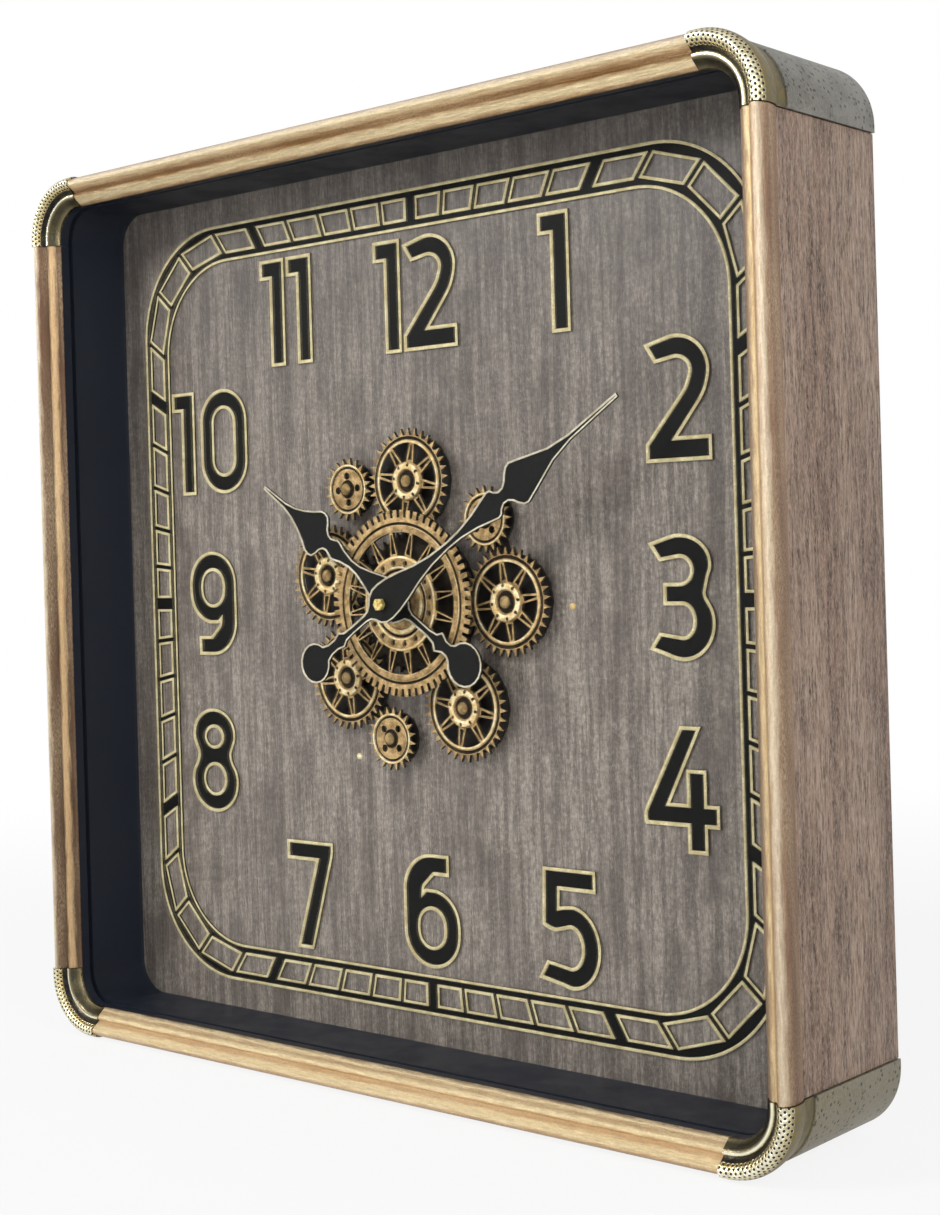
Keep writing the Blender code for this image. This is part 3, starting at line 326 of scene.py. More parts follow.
def mixColours(tree, factor, first, second):
    node = tree.nodes.new("ShaderNodeMix")
    node.data_type = "RGBA"
    for value, index in ((factor, 0), (first, 6), (second, 7)):
        if isinstance(value, (int, float, tuple)):
            node.inputs[index].default_value = value
        else:
            tree.links.new(value, node.inputs[index])
    return node.outputs[2]


def tint(tree, colour, mask, share, towards):
    # mixes a second colour into a colour, as far as a share of the mask
    return mixColours(tree, mathNode(tree, "MULTIPLY", mask, share), colour, towards)


def roughenBy(tree, shader, mask, share, base):
    rough = mathNode(tree, "MULTIPLY", mask, share)
    tree.links.new(mathNode(tree, "ADD", rough, base), shader.inputs["Roughness"])


def buildGrainGroup():
    # long streaks with short pores between them, run along the Z of the vector it gets
    tree, entry, out = newGroup(
        "woodGrain",
        [("Vector", "NodeSocketVector", None), ("Streak Size", "NodeSocketFloat", 0.004),
         ("Length", "NodeSocketFloat", 12.0)],
        [("Streaks", "NodeSocketFloat"), ("Pores", "NodeSocketFloat"), ("Patches", "NodeSocketFloat")])
    perMetre = mathNode(tree, "DIVIDE", 1.0, entry.outputs["Streak Size"])
    lengthwise = mathNode(tree, "DIVIDE", perMetre, entry.outputs["Length"])
    scale = addNode(tree, "ShaderNodeCombineXYZ")
    tree.links.new(perMetre, scale.inputs[0])
    tree.links.new(perMetre, scale.inputs[1])
    tree.links.new(lengthwise, scale.inputs[2])
    stretched = addNode(tree, "ShaderNodeVectorMath", operation="MULTIPLY")
    tree.links.new(entry.outputs["Vector"], stretched.inputs[0])
    tree.links.new(scale.outputs[0], stretched.inputs[1])
    streaks = addNode(tree, "ShaderNodeTexNoise", Scale=1.0, Detail=4.0, Roughness=0.62, Distortion=0.35)
    pores = addNode(tree, "ShaderNodeTexNoise", Scale=2.7, Detail=3.0, Roughness=0.7, Distortion=0.1)
    patches = addNode(tree, "ShaderNodeTexNoise", Scale=0.17, Detail=2.0, Roughness=0.5)
    for node in (streaks, pores, patches):
        tree.links.new(stretched.outputs[0], node.inputs["Vector"])
    tree.links.new(remap(tree, streaks.outputs["Fac"], 0.3, 0.7), out.inputs["Streaks"])
    tree.links.new(remap(tree, pores.outputs["Fac"], 0.35, 0.68), out.inputs["Pores"])
    tree.links.new(remap(tree, patches.outputs["Fac"], 0.35, 0.65), out.inputs["Patches"])
    return tree


def buildPatinaGroup():
    # blotches, fine speckle and hairline scratches of handled metal
    tree, entry, out = newGroup(
        "patina",
        [("Vector", "NodeSocketVector", None), ("Blotch Size", "NodeSocketFloat", 0.012),
         ("Speckle Size", "NodeSocketFloat", 0.0016)],
        [("Blotches", "NodeSocketFloat"), ("Speckle", "NodeSocketFloat"), ("Scratches", "NodeSocketFloat")])
    blotches = addNode(tree, "ShaderNodeTexNoise", Detail=5.0, Roughness=0.6)
    speckle = addNode(tree, "ShaderNodeTexNoise", Detail=2.0, Roughness=0.75)
    scratches = addNode(tree, "ShaderNodeTexNoise", Scale=1.0, Detail=2.0, Roughness=0.5, Distortion=1.2)
    tree.links.new(mathNode(tree, "DIVIDE", 1.0, entry.outputs["Blotch Size"]), blotches.inputs["Scale"])
    tree.links.new(mathNode(tree, "DIVIDE", 1.0, entry.outputs["Speckle Size"]), speckle.inputs["Scale"])
    thin = addNode(tree, "ShaderNodeVectorMath", operation="MULTIPLY")
    thin.inputs[1].default_value = (900.0, 700.0, 60.0)
    tree.links.new(entry.outputs["Vector"], thin.inputs[0])
    tree.links.new(thin.outputs[0], scratches.inputs["Vector"])
    for node in (blotches, speckle):
        tree.links.new(entry.outputs["Vector"], node.inputs["Vector"])
    tree.links.new(remap(tree, blotches.outputs["Fac"], 0.35, 0.65), out.inputs["Blotches"])
    tree.links.new(remap(tree, speckle.outputs["Fac"], 0.4, 0.62), out.inputs["Speckle"])
    tree.links.new(remap(tree, scratches.outputs["Fac"], 0.56, 0.62), out.inputs["Scratches"])
    return tree


woodGrain = buildGrainGroup()
patina = buildPatinaGroup()


def newFinish(name, roughness=0.5, metallic=0.0, coat=0.0, coatRoughness=0.1):
    material = bpy.data.materials.new(name)
    material.use_nodes = True
    tree = material.node_tree
    shader = tree.nodes["Principled BSDF"]
    shader.inputs["Roughness"].default_value = roughness
    shader.inputs["Metallic"].default_value = metallic
    shader.inputs["Coat Weight"].default_value = coat
    shader.inputs["Coat Roughness"].default_value = coatRoughness
    return material, tree, shader


def useGroup(tree, group, vector, **values):
    node = tree.nodes.new("ShaderNodeGroup")
    node.node_tree = group
    tree.links.new(vector, node.inputs["Vector"])
    for key, value in values.items():
        node.inputs[key.replace("_", " ")].default_value = value
    return node.outputs


def objectVector(tree, rotation=(0, 0, 0)):
    coordinate = tree.nodes.new("ShaderNodeTexCoord")
    if rotation == (0, 0, 0):
        return coordinate.outputs["Object"]
    turned = addNode(tree, "ShaderNodeMapping")
    turned.inputs["Rotation"].default_value = rotation
    tree.links.new(coordinate.outputs["Object"], turned.inputs["Vector"])
    return turned.outputs[0]


def bumpFrom(tree, shader, height, distance, strength):
    bump = addNode(tree, "ShaderNodeBump", Strength=strength, Distance=distance)
    tree.links.new(height, bump.inputs["Height"])
    tree.links.new(bump.outputs[0], shader.inputs["Normal"])


def metalFinish(name, light, dark, dullness, metallic, blotch=0.012, speckle=0.0016, bump=0.00008):
    # handled metal, satin at best: two tones in blotches, darker speckle, scratches that shine a little more
    material, tree, shader = newFinish(name, dullness, metallic)
    wear = useGroup(tree, patina, objectVector(tree), Blotch_Size=blotch, Speckle_Size=speckle)
    colour = mixColours(tree, wear["Blotches"], dark, light)
    darker = tuple(value * 0.45 for value in dark[:3]) + (1.0,)
    tree.links.new(tint(tree, colour, wear["Speckle"], 0.35, darker), shader.inputs["Base Color"])
    roughenBy(tree, shader, wear["Scratches"], -0.2 * dullness, 0.5 + 1.1 * dullness)
    bumpFrom(tree, shader, mathNode(tree, "SUBTRACT", wear["Speckle"], wear["Scratches"]), bump, 0.6)
    return material


def woodFinish(name, light, middle, dark, streak, length, roughness, rotation=(0, 0, 0)):
    material, tree, shader = newFinish(name, roughness)
    shader.inputs["Specular IOR Level"].default_value = 0.3
    vector = objectVector(tree, rotation)
    grain = useGroup(tree, woodGrain, vector, Streak_Size=streak, Length=length)
    fleck = useGroup(tree, woodGrain, vector, Streak_Size=0.5 * streak, Length=0.4 * length)
    colour = mixColours(tree, remap(tree, grain["Streaks"], 0.1, 0.8), dark, middle)
    colour = tint(tree, colour, fleck["Pores"], 0.6, light)
    colour = tint(tree, colour, mathNode(tree, "SUBTRACT", 1.0, fleck["Streaks"]), 0.5, dark)
    colour = tint(tree, colour, mathNode(tree, "MULTIPLY", grain["Patches"], grain["Pores"]), 0.6, light)
    tree.links.new(colour, shader.inputs["Base Color"])
    roughenBy(tree, shader, grain["Pores"], -0.18, roughness + 0.08)
    height = mathNode(tree, "MULTIPLY_ADD", fleck["Pores"], 0.8)
    tree.links.new(grain["Streaks"], height.node.inputs[2])
    bumpFrom(tree, shader, height, 0.0002, 0.5)
    return material


def blackFinish(name, colour, roughness, fleck=0.25, shine=0.22):
    # dark enamel with dust in its pores
    material, tree, shader = newFinish(name, roughness)
    shader.inputs["Specular IOR Level"].default_value = shine
    wear = useGroup(tree, patina, objectVector(tree), Blotch_Size=0.03, Speckle_Size=0.0009)
    dusty = tuple(min(1.0, value * 1.5 + 0.004) for value in colour[:3]) + (1.0,)
    tree.links.new(tint(tree, colour, wear["Speckle"], fleck, dusty), shader.inputs["Base Color"])
    roughenBy(tree, shader, wear["Blotches"], 0.12, roughness - 0.05)
    bumpFrom(tree, shader, wear["Speckle"], 0.00005, 0.5)
    return material


caseValues = {
    "halfWidth": 0.3042, "halfHeight": 0.3, "cornerRadius": 0.04, "cornerStraight": 0.004, "gap": 0.0003,
    "mouldingWidth": 0.0192, "mouldingDepth": 0.0198, "proud": 0.0011, "lipDepth": 0.0134,
    "rearInset": 0.0022,
    "stepAlong": 0.00052, "pitStart": 0.0152, "pitRadius": 0.00092, "pitDepth": 0.0006, "pitSpacing": 0.0034,
    "pitRows": 6, "pitRowSpacing": 0.00245,
    "skirtInset": 0.00176, "skirtThickness": 0.0021, "skirtEnd": 0.0295,
    "castingInset": 0.0008, "castingInner": 0.0147, "castingRoll": 0.0005, "castingStep": 0.0022,
}
depthOfWall = 0.12  # the wall plane is y = 0, and a depth is counted from the front


def smoothLine(points, perPart):
    # a curve through the points, which keeps its ends
    result = []
    for index in range(len(points) - 1):
        before = Vector(points[max(index - 1, 0)])
        start, end = Vector(points[index]), Vector(points[index + 1])
        after = Vector(points[min(index + 2, len(points) - 1)])
        for step in range(perPart):
            t = step / perPart
            result.append(0.5 * (2 * start + (end - before) * t
                                 + (2 * before - 5 * start + 4 * end - after) * t ** 2
                                 + (3 * start - before - 3 * end + after) * t ** 3))
    result.append(Vector(points[-1]))
    return result


def mouldingLine(proud):
    # inset from the case's side and depth from its front, from the outer rear edge to the inner one
    v = caseValues
    crest = v["proud"] - proud
    outerBead = [
        (v["rearInset"] - proud, 0.0196), (0.0006 - proud, 0.0150), (-proud, 0.0080),
        (0.0014 - proud, crest + 0.0030), (0.0032 - proud, crest + 0.0005), (0.0048 - proud, crest),
        (0.0060 - proud, crest + 0.0003), (0.0070, crest + 0.0016), (0.0086, crest + 0.0036),
        (0.0100, crest + 0.0053), (0.0110, crest + 0.0061)]
    innerBead = [
        outerBead[-1], (0.0120, crest + 0.0054), (0.0134, crest + 0.0055), (0.0148, crest + 0.0064),
        (0.0164, crest + 0.0084), (0.0179, crest + 0.0102), (v["mouldingWidth"], crest + 0.0118)]
    line = smoothLine(outerBead, 5) + smoothLine(innerBead, 3)[1:]
    return [Vector((max(point.x, -proud), max(point.y, crest))) for point in line]


def lengthAround(proud):
    line = mouldingLine(proud)
    return sum((after - before).length for before, after in zip(line, line[1:]))


def profileRing(name, line, closing, place3d):
    # a ring of vertices set on the moulding's section
    points = list(line) + [Vector(point) for point in closing]
    deselectAll()
    bpy.ops.mesh.primitive_circle_add(vertices=len(points), radius=0.01)
    piece = named(name)
    for vertex, point in zip(piece.data.vertices, points):
        vertex.co = place3d(point.x, point.y)
    return piece


def profileMap(piece, line, insetOf, alongOf):
    # UV: metres along the piece, and metres round its section from the outer rear edge
    lengths = [0.0]
    for first, second in zip(line, line[1:]):
        lengths.append(lengths[-1] + (second - first).length)
    while piece.data.uv_layers:
        piece.data.uv_layers.remove(piece.data.uv_layers[0])
    layer = piece.data.uv_layers.new(name="section")
    spots = {}
    for vertex in piece.data.vertices:
        inset, depth = insetOf(vertex.co), vertex.co.y + depthOfWall
        best = min(range(len(line)), key=lambda k: (line[k].x - inset) ** 2 + (line[k].y - depth) ** 2)
        spots[vertex.index] = (alongOf(vertex.co), lengths[best])
    for loop in piece.data.loops:
        layer.data[loop.index].uv = spots[loop.vertex_index]


sides = {"top": (0, 1), "right": (1, 0), "bottom": (0, -1), "left": (-1, 0)}  # the way out, in x and z


def makeRail(side):
    v = caseValues
    outX, outZ = sides[side]
    line = mouldingLine(0.0)
    half = (v["halfHeight"] if outX else v["halfWidth"]) - v["cornerRadius"] - v["cornerStraight"]

    def spot(inset, depth):
        if outX:
            return Vector((outX * (v["halfWidth"] - inset), depth - depthOfWall, -half))
        return Vector((-half, depth - depthOfWall, outZ * (v["halfHeight"] - inset)))

    rear = v["mouldingDepth"]
    closing = [(v["mouldingWidth"], v["lipDepth"]), (v["mouldingWidth"], rear), (v["rearInset"], rear)]
    piece = profileRing("moulding_" + side, line, closing, spot)
    editAll(piece)
    bpy.ops.mesh.edge_face_add()
    along = (0, 0, 2 * half) if outX else (2 * half, 0, 0)
    bpy.ops.mesh.extrude_region_move(TRANSFORM_OT_translate={"value": along})
    closeOutward()
    if outX:
        profileMap(piece, line, lambda co: v["halfWidth"] - abs(co.x), lambda co: co.z)
    else:
        profileMap(piece, line, lambda co: v["halfHeight"] - abs(co.z), lambda co: co.x)
    freeze(piece)
    smoothBy(piece, 40)
    return place(piece, "case", "moulding", "rail_" + side)


corners = {"top_right": (1, 1), "top_left": (-1, 1), "bottom_right": (1, -1), "bottom_left": (-1, -1)}


def mirrorTo(piece, signX, signZ):
    editAll(piece)
    bpy.ops.transform.resize(value=(signX, 1, signZ), center_override=(0, 0, 0))
    closeOutward()


def cornerCentre():
    radius = caseValues["cornerRadius"]
    return caseValues["halfWidth"] - radius, caseValues["halfHeight"] - radius


def sweepCorner(name, line, closing, stepAlong):
    # runs a section round the top right corner, with a short straight at each end
    v = caseValues
    centreX, centreZ = cornerCentre()
    straight = v["cornerStraight"] - v["gap"]

    def spot(inset, depth):
        return Vector((centreX - straight, depth - depthOfWall, v["halfHeight"] - inset))

    piece = profileRing(name, line, closing, spot)
    straightSteps = max(1, round(straight / stepAlong))
    turnSteps = round(math.radians(90) * v["cornerRadius"] / stepAlong)

    def runStraight(x, z):
        for step in range(straightSteps):
            bpy.ops.mesh.extrude_region_move(TRANSFORM_OT_translate={
                "value": (x * straight / straightSteps, 0, z * straight / straightSteps)})

    editAll(piece)
    bpy.ops.mesh.edge_face_add()
    bpy.ops.mesh.select_all(action="SELECT")
    runStraight(1, 0)
    bpy.ops.mesh.spin(steps=turnSteps, angle=math.radians(-90), center=(centreX, 0, centreZ), axis=(0, 1, 0))
    runStraight(0, -1)
    bpy.ops.mesh.select_all(action="SELECT")
    bpy.ops.mesh.remove_doubles(threshold=mergeDistance)
    closeOutward()
    return piece


def makeElbow(corner):
    # swept round the corner, then its outer bead is pitted
    v = caseValues
    skirtInner = v["skirtInset"] + v["skirtThickness"]
    closing = [(v["mouldingWidth"], v["lipDepth"]), (v["mouldingWidth"], v["mouldingDepth"]),
               (skirtInner, v["mouldingDepth"]), (skirtInner, v["skirtEnd"]),
               (v["skirtInset"], v["skirtEnd"])]
    line = mouldingLine(v["proud"])
    line[0] = Vector((v["skirtInset"], v["mouldingDepth"] - 0.001))
    piece = sweepCorner("elbow_cast_" + corner, line, closing, v["stepAlong"])
    centreX, centreZ = cornerCentre()

    def insetOf(co):
        if co.x < centreX:
            return v["halfHeight"] - co.z
        if co.z < centreZ:
            return v["halfWidth"] - co.x
        return v["cornerRadius"] - math.hypot(co.x - centreX, co.z - centreZ)

    def alongOf(co):
        if co.x < centreX:
            return co.x - centreX
        if co.z < centreZ:
            return v["cornerRadius"] * math.radians(90) + centreZ - co.z
        return v["cornerRadius"] * math.atan2(co.x - centreX, co.z - centreZ)

    profileMap(piece, line, insetOf, alongOf)
    pitTheBead(piece)
    mirrorTo(piece, *corners[corner])
    freeze(piece)
    smoothBy(piece, 50)
    return place(piece, "case", "elbow", "elbow_" + corner)


def makeCasting(corner):
    # a shell behind the elbow, with its edge rolled over
    v = caseValues
    neck = v["skirtInset"] + v["skirtThickness"] + v["gap"]
    start, step = v["mouldingDepth"] + v["gap"], v["skirtEnd"] + v["gap"]
    outer, roll = v["castingInset"], v["castingRoll"]
    outside = [
        (neck, start), (neck, step), (outer + roll, step), (outer + 0.3 * roll, step + 0.3 * roll),
        (outer, step + roll), (outer, depthOfWall - roll), (outer + roll, depthOfWall)]
    inside = [(v["castingInner"], depthOfWall), (v["castingInner"], start)]
    line = [Vector(point) for point in outside]
    piece = sweepCorner("hammered_" + corner, line, inside, v["castingStep"])
    mirrorTo(piece, *corners[corner])
    freeze(piece)
    smoothBy(piece, 40)
    return place(piece, "case", "casting", "casting_" + corner)


def pitTheBead(piece):
    # presses round pits into the outer bead, in staggered rows
    v = caseValues
    layer = piece.data.uv_layers[0]
    spots = {loop.vertex_index: layer.data[loop.index].uv.copy() for loop in piece.data.loops}
    moves = []
    for vertex in piece.data.vertices:
        along, across = spots[vertex.index]
        row = round((across - v["pitStart"]) / v["pitRowSpacing"])
        if not 0 <= row < v["pitRows"]:
            continue
        shift = 0.5 * v["pitSpacing"] if row % 2 else 0.0
        column = round((along - shift) / v["pitSpacing"])
        offAlong = along - shift - column * v["pitSpacing"]
        away = math.hypot(offAlong, across - v["pitStart"] - row * v["pitRowSpacing"])
        if away < v["pitRadius"]:
            push = v["pitDepth"] * (1 - (away / v["pitRadius"]) ** 4)
            moves.append((vertex, vertex.normal * -push))
    for vertex, move in moves:
        vertex.co += move
    piece.data.update()


def rampOf(tree, value, tones, bands):
    ramp = tree.nodes.new("ShaderNodeValToRGB")
    tree.links.new(value, ramp.inputs[0])
    for index, (position, toneName) in enumerate(bands):
        element = ramp.color_ramp.elements[index] if index < 2 else ramp.color_ramp.elements.new(position)
        element.position = position
        element.color = tone(*tones[toneName])
    return ramp.outputs[0]


def sectionMap(tree):
    # metres along the piece, and metres round its section
    uv = tree.nodes.new("ShaderNodeUVMap")
    uv.uv_map = "section"
    parts = tree.nodes.new("ShaderNodeSeparateXYZ")
    tree.links.new(uv.outputs[0], parts.inputs[0])
    return parts.outputs[0], parts.outputs[1]


# the moulding's tones and bands: besides the copper's own rubbed and brown tones, they paint highlights on
# the crests and beads and shade in the groove and at the lip, differently on each side as light falls on it
mouldingTones = {
    "shadow": (84, 66, 52), "darkCopper": (112, 86, 68), "copper": (146, 118, 96),
    "rubbedAndLitCopper": (180, 152, 124), "brown": (136, 102, 62), "honey": (212, 178, 134),
    "pale": (232, 214, 186), "crest": (254, 234, 188)}
mouldingBands = {  # side: share of the way round the section, from flank to crest, groove, inner bead and lip
    "top": [
        (0.0, "rubbedAndLitCopper"), (0.1, "copper"), (0.36, "copper"), (0.48, "pale"), (0.56, "crest"),
        (0.62, "honey"), (0.69, "brown"), (0.75, "brown"), (0.85, "crest"), (0.9, "crest"), (0.95, "honey"),
        (1.0, "brown")],
    "bottom": [
        (0.0, "copper"), (0.12, "rubbedAndLitCopper"), (0.25, "copper"), (0.38, "brown"), (0.48, "honey"),
        (0.55, "crest"), (0.61, "crest"), (0.67, "honey"), (0.73, "honey"), (0.8, "crest"), (0.88, "honey"),
        (0.94, "crest"), (1.0, "copper")],
    "left": [
        (0.0, "copper"), (0.1, "darkCopper"), (0.28, "copper"), (0.4, "pale"), (0.5, "pale"),
        (0.58, "darkCopper"), (0.74, "shadow"), (0.81, "honey"), (0.86, "honey"), (0.93, "shadow"),
        (1.0, "darkCopper")],
    "right": [
        (0.0, "copper"), (0.28, "darkCopper"), (0.36, "copper"), (0.46, "pale"), (0.54, "rubbedAndLitCopper"),
        (0.61, "rubbedAndLitCopper"), (0.68, "honey"), (0.73, "crest"), (0.79, "rubbedAndLitCopper"), (0.92, "copper"),
        (1.0, "rubbedAndLitCopper")]}
# the elbow's glint and pale brass tones paint highlights on its crest and inner bead; the groove is black
elbowTones = {
    "olive": (100, 94, 78), "bronze": (120, 110, 84), "brass": (180, 156, 92), "paleBrass": (226, 214, 172),
    "glint": (254, 250, 228), "grooveBlack": (30, 31, 34), "darkOlive": (64, 61, 50)}
elbowBands = [
    (0.0, "olive"), (0.32, "bronze"), (0.43, "paleBrass"), (0.5, "glint"), (0.57, "paleBrass"),
    (0.64, "brass"), (0.67, "grooveBlack"), (0.74, "grooveBlack"), (0.77, "paleBrass"), (0.79, "glint"), (0.815, "bronze"),
    (0.85, "darkOlive"), (0.93, "darkOlive"), (1.0, "bronze")]


def mouldingFinish(side):
    # dull copper with long scratches, rubbed to gold on the crests and brown in the groove, with painted
    # highlights on the crests and beads and painted shade in the groove, set apart for each side
    material, tree, shader = newFinish("wornCopperAndPaintedLight_" + side, 0.36, 0.85)
    along, around = sectionMap(tree)
    lengthwise = tree.nodes.new("ShaderNodeCombineXYZ")
    tree.links.new(around, lengthwise.inputs[0])
    tree.links.new(along, lengthwise.inputs[2])
    wear = useGroup(tree, patina, objectVector(tree), Blotch_Size=0.009, Speckle_Size=0.0014)
    rub = useGroup(tree, woodGrain, lengthwise.outputs[0], Streak_Size=0.0024, Length=9.0)
    fine = useGroup(tree, woodGrain, lengthwise.outputs[0], Streak_Size=0.0013, Length=6.0)
    wobble = mathNode(tree, "MULTIPLY", mathNode(tree, "SUBTRACT", rub["Streaks"], 0.5), 0.0018)
    share = mathNode(tree, "DIVIDE", mathNode(tree, "ADD", around, wobble), lengthAround(0.0))
    colour = rampOf(tree, share, mouldingTones, mouldingBands[side])
    colour = tint(tree, colour, mathNode(tree, "SUBTRACT", 1.0, fine["Streaks"]), 0.24, tone(112, 80, 52))
    flecks = mathNode(tree, "MULTIPLY", fine["Pores"], rub["Patches"])
    colour = tint(tree, colour, flecks, 0.36, tone(244, 224, 184))
    colour = tint(tree, colour, wear["Speckle"], 0.06, tone(104, 76, 54))
    tree.links.new(colour, shader.inputs["Base Color"])
    roughenBy(tree, shader, wear["Speckle"], 0.2, 0.3)
    bumpFrom(tree, shader, mathNode(tree, "ADD", rub["Streaks"], fine["Pores"]), 0.0003, 0.8)
    return material


def pitPattern(tree, along, around):
    # the distance from the nearest pit's middle, and 1 where there are rows of pits, as pitTheBead sets them
    v = caseValues
    row = mathNode(tree, "DIVIDE", mathNode(tree, "SUBTRACT", around, v["pitStart"]), v["pitRowSpacing"])
    rowNumber = mathNode(tree, "ROUND", row)
    odd = mathNode(tree, "ABSOLUTE", mathNode(tree, "MODULO", rowNumber, 2.0))
    shift = mathNode(tree, "MULTIPLY", odd, 0.5)
    column = mathNode(tree, "SUBTRACT", mathNode(tree, "DIVIDE", along, v["pitSpacing"]), shift)
    offAlong = mathNode(tree, "SUBTRACT", column, mathNode(tree, "ROUND", column))
    offAlong = mathNode(tree, "MULTIPLY", offAlong, v["pitSpacing"])
    offAcross = mathNode(tree, "MULTIPLY", mathNode(tree, "SUBTRACT", row, rowNumber), v["pitRowSpacing"])
    squares = [mathNode(tree, "POWER", off, 2.0) for off in (offAlong, offAcross)]
    inRows = mathNode(tree, "MULTIPLY", mathNode(tree, "GREATER_THAN", rowNumber, -0.5),
                      mathNode(tree, "LESS_THAN", rowNumber, v["pitRows"] - 0.5))
    return mathNode(tree, "SQRT", mathNode(tree, "ADD", *squares)), inRows


def elbowFinish():
    # bright brass with black pits, painted highlights on the crest, the inner bead and the pit rims, and
    # olive bronze on the band behind
    v = caseValues
    material, tree, shader = newFinish("pittedBrass", 0.24, 1.0)
    along, around = sectionMap(tree)
    away, inRows = pitPattern(tree, along, around)
    pit = remap(tree, away, v["pitRadius"] * 0.74, v["pitRadius"] * 1.02, 1.0, 0.0)
    pit = mathNode(tree, "MULTIPLY", pit, inRows)
    share = mathNode(tree, "DIVIDE", around, lengthAround(v["proud"]))
    wear = useGroup(tree, patina, objectVector(tree), Blotch_Size=0.005, Speckle_Size=0.0014)
    colour = rampOf(tree, share, elbowTones, elbowBands)
    shade = mathNode(tree, "MULTIPLY", wear["Blotches"], remap(tree, share, 0.60, 0.67, 0.5, 0.12))
    colour = mixColours(tree, shade, colour, tone(138, 120, 66))
    # painted highlight: the rims round the pits are lightened towards near white
    pitRimHighlight = remap(tree, away, v["pitRadius"] * 1.05, v["pitRadius"] * 1.5, 0.5, 0.0)
    pitRimHighlight = mathNode(tree, "MULTIPLY", pitRimHighlight, mathNode(tree, "MULTIPLY", inRows, wear["Speckle"]))
    colour = mixColours(tree, pitRimHighlight, colour, tone(255, 250, 226))
    colour = mixColours(tree, pit, colour, tone(20, 18, 15))
    tree.links.new(colour, shader.inputs["Base Color"])
    rough = mathNode(tree, "MULTIPLY", pit, 0.5)
    back = remap(tree, share, 0.28, 0.38, 0.22, 0.0)
    rough = mathNode(tree, "ADD", rough, mathNode(tree, "ADD", back, 0.24))
    tree.links.new(rough, shader.inputs["Roughness"])
    tree.links.new(mathNode(tree, "SUBTRACT", 1.0, mathNode(tree, "MULTIPLY", pit, 0.8)),
                   shader.inputs["Metallic"])
    bumpFrom(tree, shader, mathNode(tree, "ADD", wear["Speckle"], wear["Blotches"]), 0.00012, 0.6)
    return material


def castingFinish():
    # hammered pewter with small dark crescents
    material, tree, shader = newFinish("hammeredPewter", 0.5, 0.35)
    vector = objectVector(tree)
    wear = useGroup(tree, patina, vector, Blotch_Size=0.02, Speckle_Size=0.0016)
    cells = addNode(tree, "ShaderNodeTexVoronoi", Scale=270.0, Randomness=0.95)
    tree.links.new(vector, cells.inputs["Vector"])
    chance = addNode(tree, "ShaderNodeTexNoise", Scale=90.0, Detail=1.0)
    tree.links.new(vector, chance.inputs["Vector"])
    crescent = mathNode(tree, "MULTIPLY", remap(tree, cells.outputs["Distance"], 0.18, 0.36, 1.0, 0.0),
                        remap(tree, chance.outputs["Fac"], 0.32, 0.42))
    colour = mixColours(tree, wear["Blotches"], tone(104, 101, 93), tone(128, 125, 117))
    height = tree.nodes.new("ShaderNodeSeparateXYZ")
    tree.links.new(vector, height.inputs[0])
    olive = remap(tree, height.outputs[2], -0.29, 0.1, 0.8, 0.0)  # the lower castings are browner
    colour = mixColours(tree, olive, colour, tone(128, 118, 92))
    colour = tint(tree, colour, wear["Speckle"], 0.3, tone(164, 160, 150))
    colour = tint(tree, colour, crescent, 0.85, tone(56, 53, 48))
    tree.links.new(colour, shader.inputs["Base Color"])
    roughenBy(tree, shader, wear["Speckle"], 0.15, 0.38)
    dents = mathNode(tree, "SUBTRACT", mathNode(tree, "MULTIPLY", wear["Speckle"], 0.4), crescent)
    bumpFrom(tree, shader, dents, 0.0003, 0.7)
    return material


# each side of the moulding gets its own finish, because its bands of painted highlight and painted shade
# differ
copper = {side: mouldingFinish(side) for side in sides}
brassPitted = elbowFinish()
pewter = castingFinish()
liner = blackFinish("blackLiner", tone(34, 39, 49), 0.38)
boardValues = {"light": tone(202, 178, 158), "middle": tone(142, 115, 98), "dark": tone(64, 45, 36),
               "streak": 0.0042, "length": 9.0, "roughness": 0.55}
uprightWood = woodFinish("uprightWalnut", **boardValues)
lyingWood = woodFinish("lyingWalnut", rotation=(0, math.radians(90), 0), **boardValues)


def behindLip(face):
    # the wall inside the moulding, from its lip back to the glass, which is painted black as painted shade
    v = caseValues
    inset = min(v["halfWidth"] - abs(face.center.x), v["halfHeight"] - abs(face.center.z))
    return face.center.y + depthOfWall > v["lipDepth"] + 0.001 and inset > v["mouldingWidth"] - 0.0006


def dressMoulding(piece, metal):
    setMaterials(piece, metal, liner)
    # painted shade: the wall behind the lip takes the black liner
    paintFaces(piece, 1, behindLip)


for side in sides:
    dressMoulding(makeRail(side), copper[side])
    board = copyOfNode("board_" + side, "wood_" + side)
    softenEdges(board, 0.0005)
    smoothBy(board)
    setMaterials(board, uprightWood if side in ("left", "right") else lyingWood)
    place(board, "case", "side_board", "board_" + side)
for corner in corners:
    dressMoulding(makeElbow(corner), brassPitted)
    setMaterials(makeCasting(corner), pewter)
print("case made")


lips = {  # width of the gold lip, its rise over the front face, and the drop of the core inside it
    "track": (0.0018, 0.0002, 0.0003), "numeral": (0.00225, 0.0003, 0.0004),
    "hand": (0.00115, 0.0003, 0.0003)}


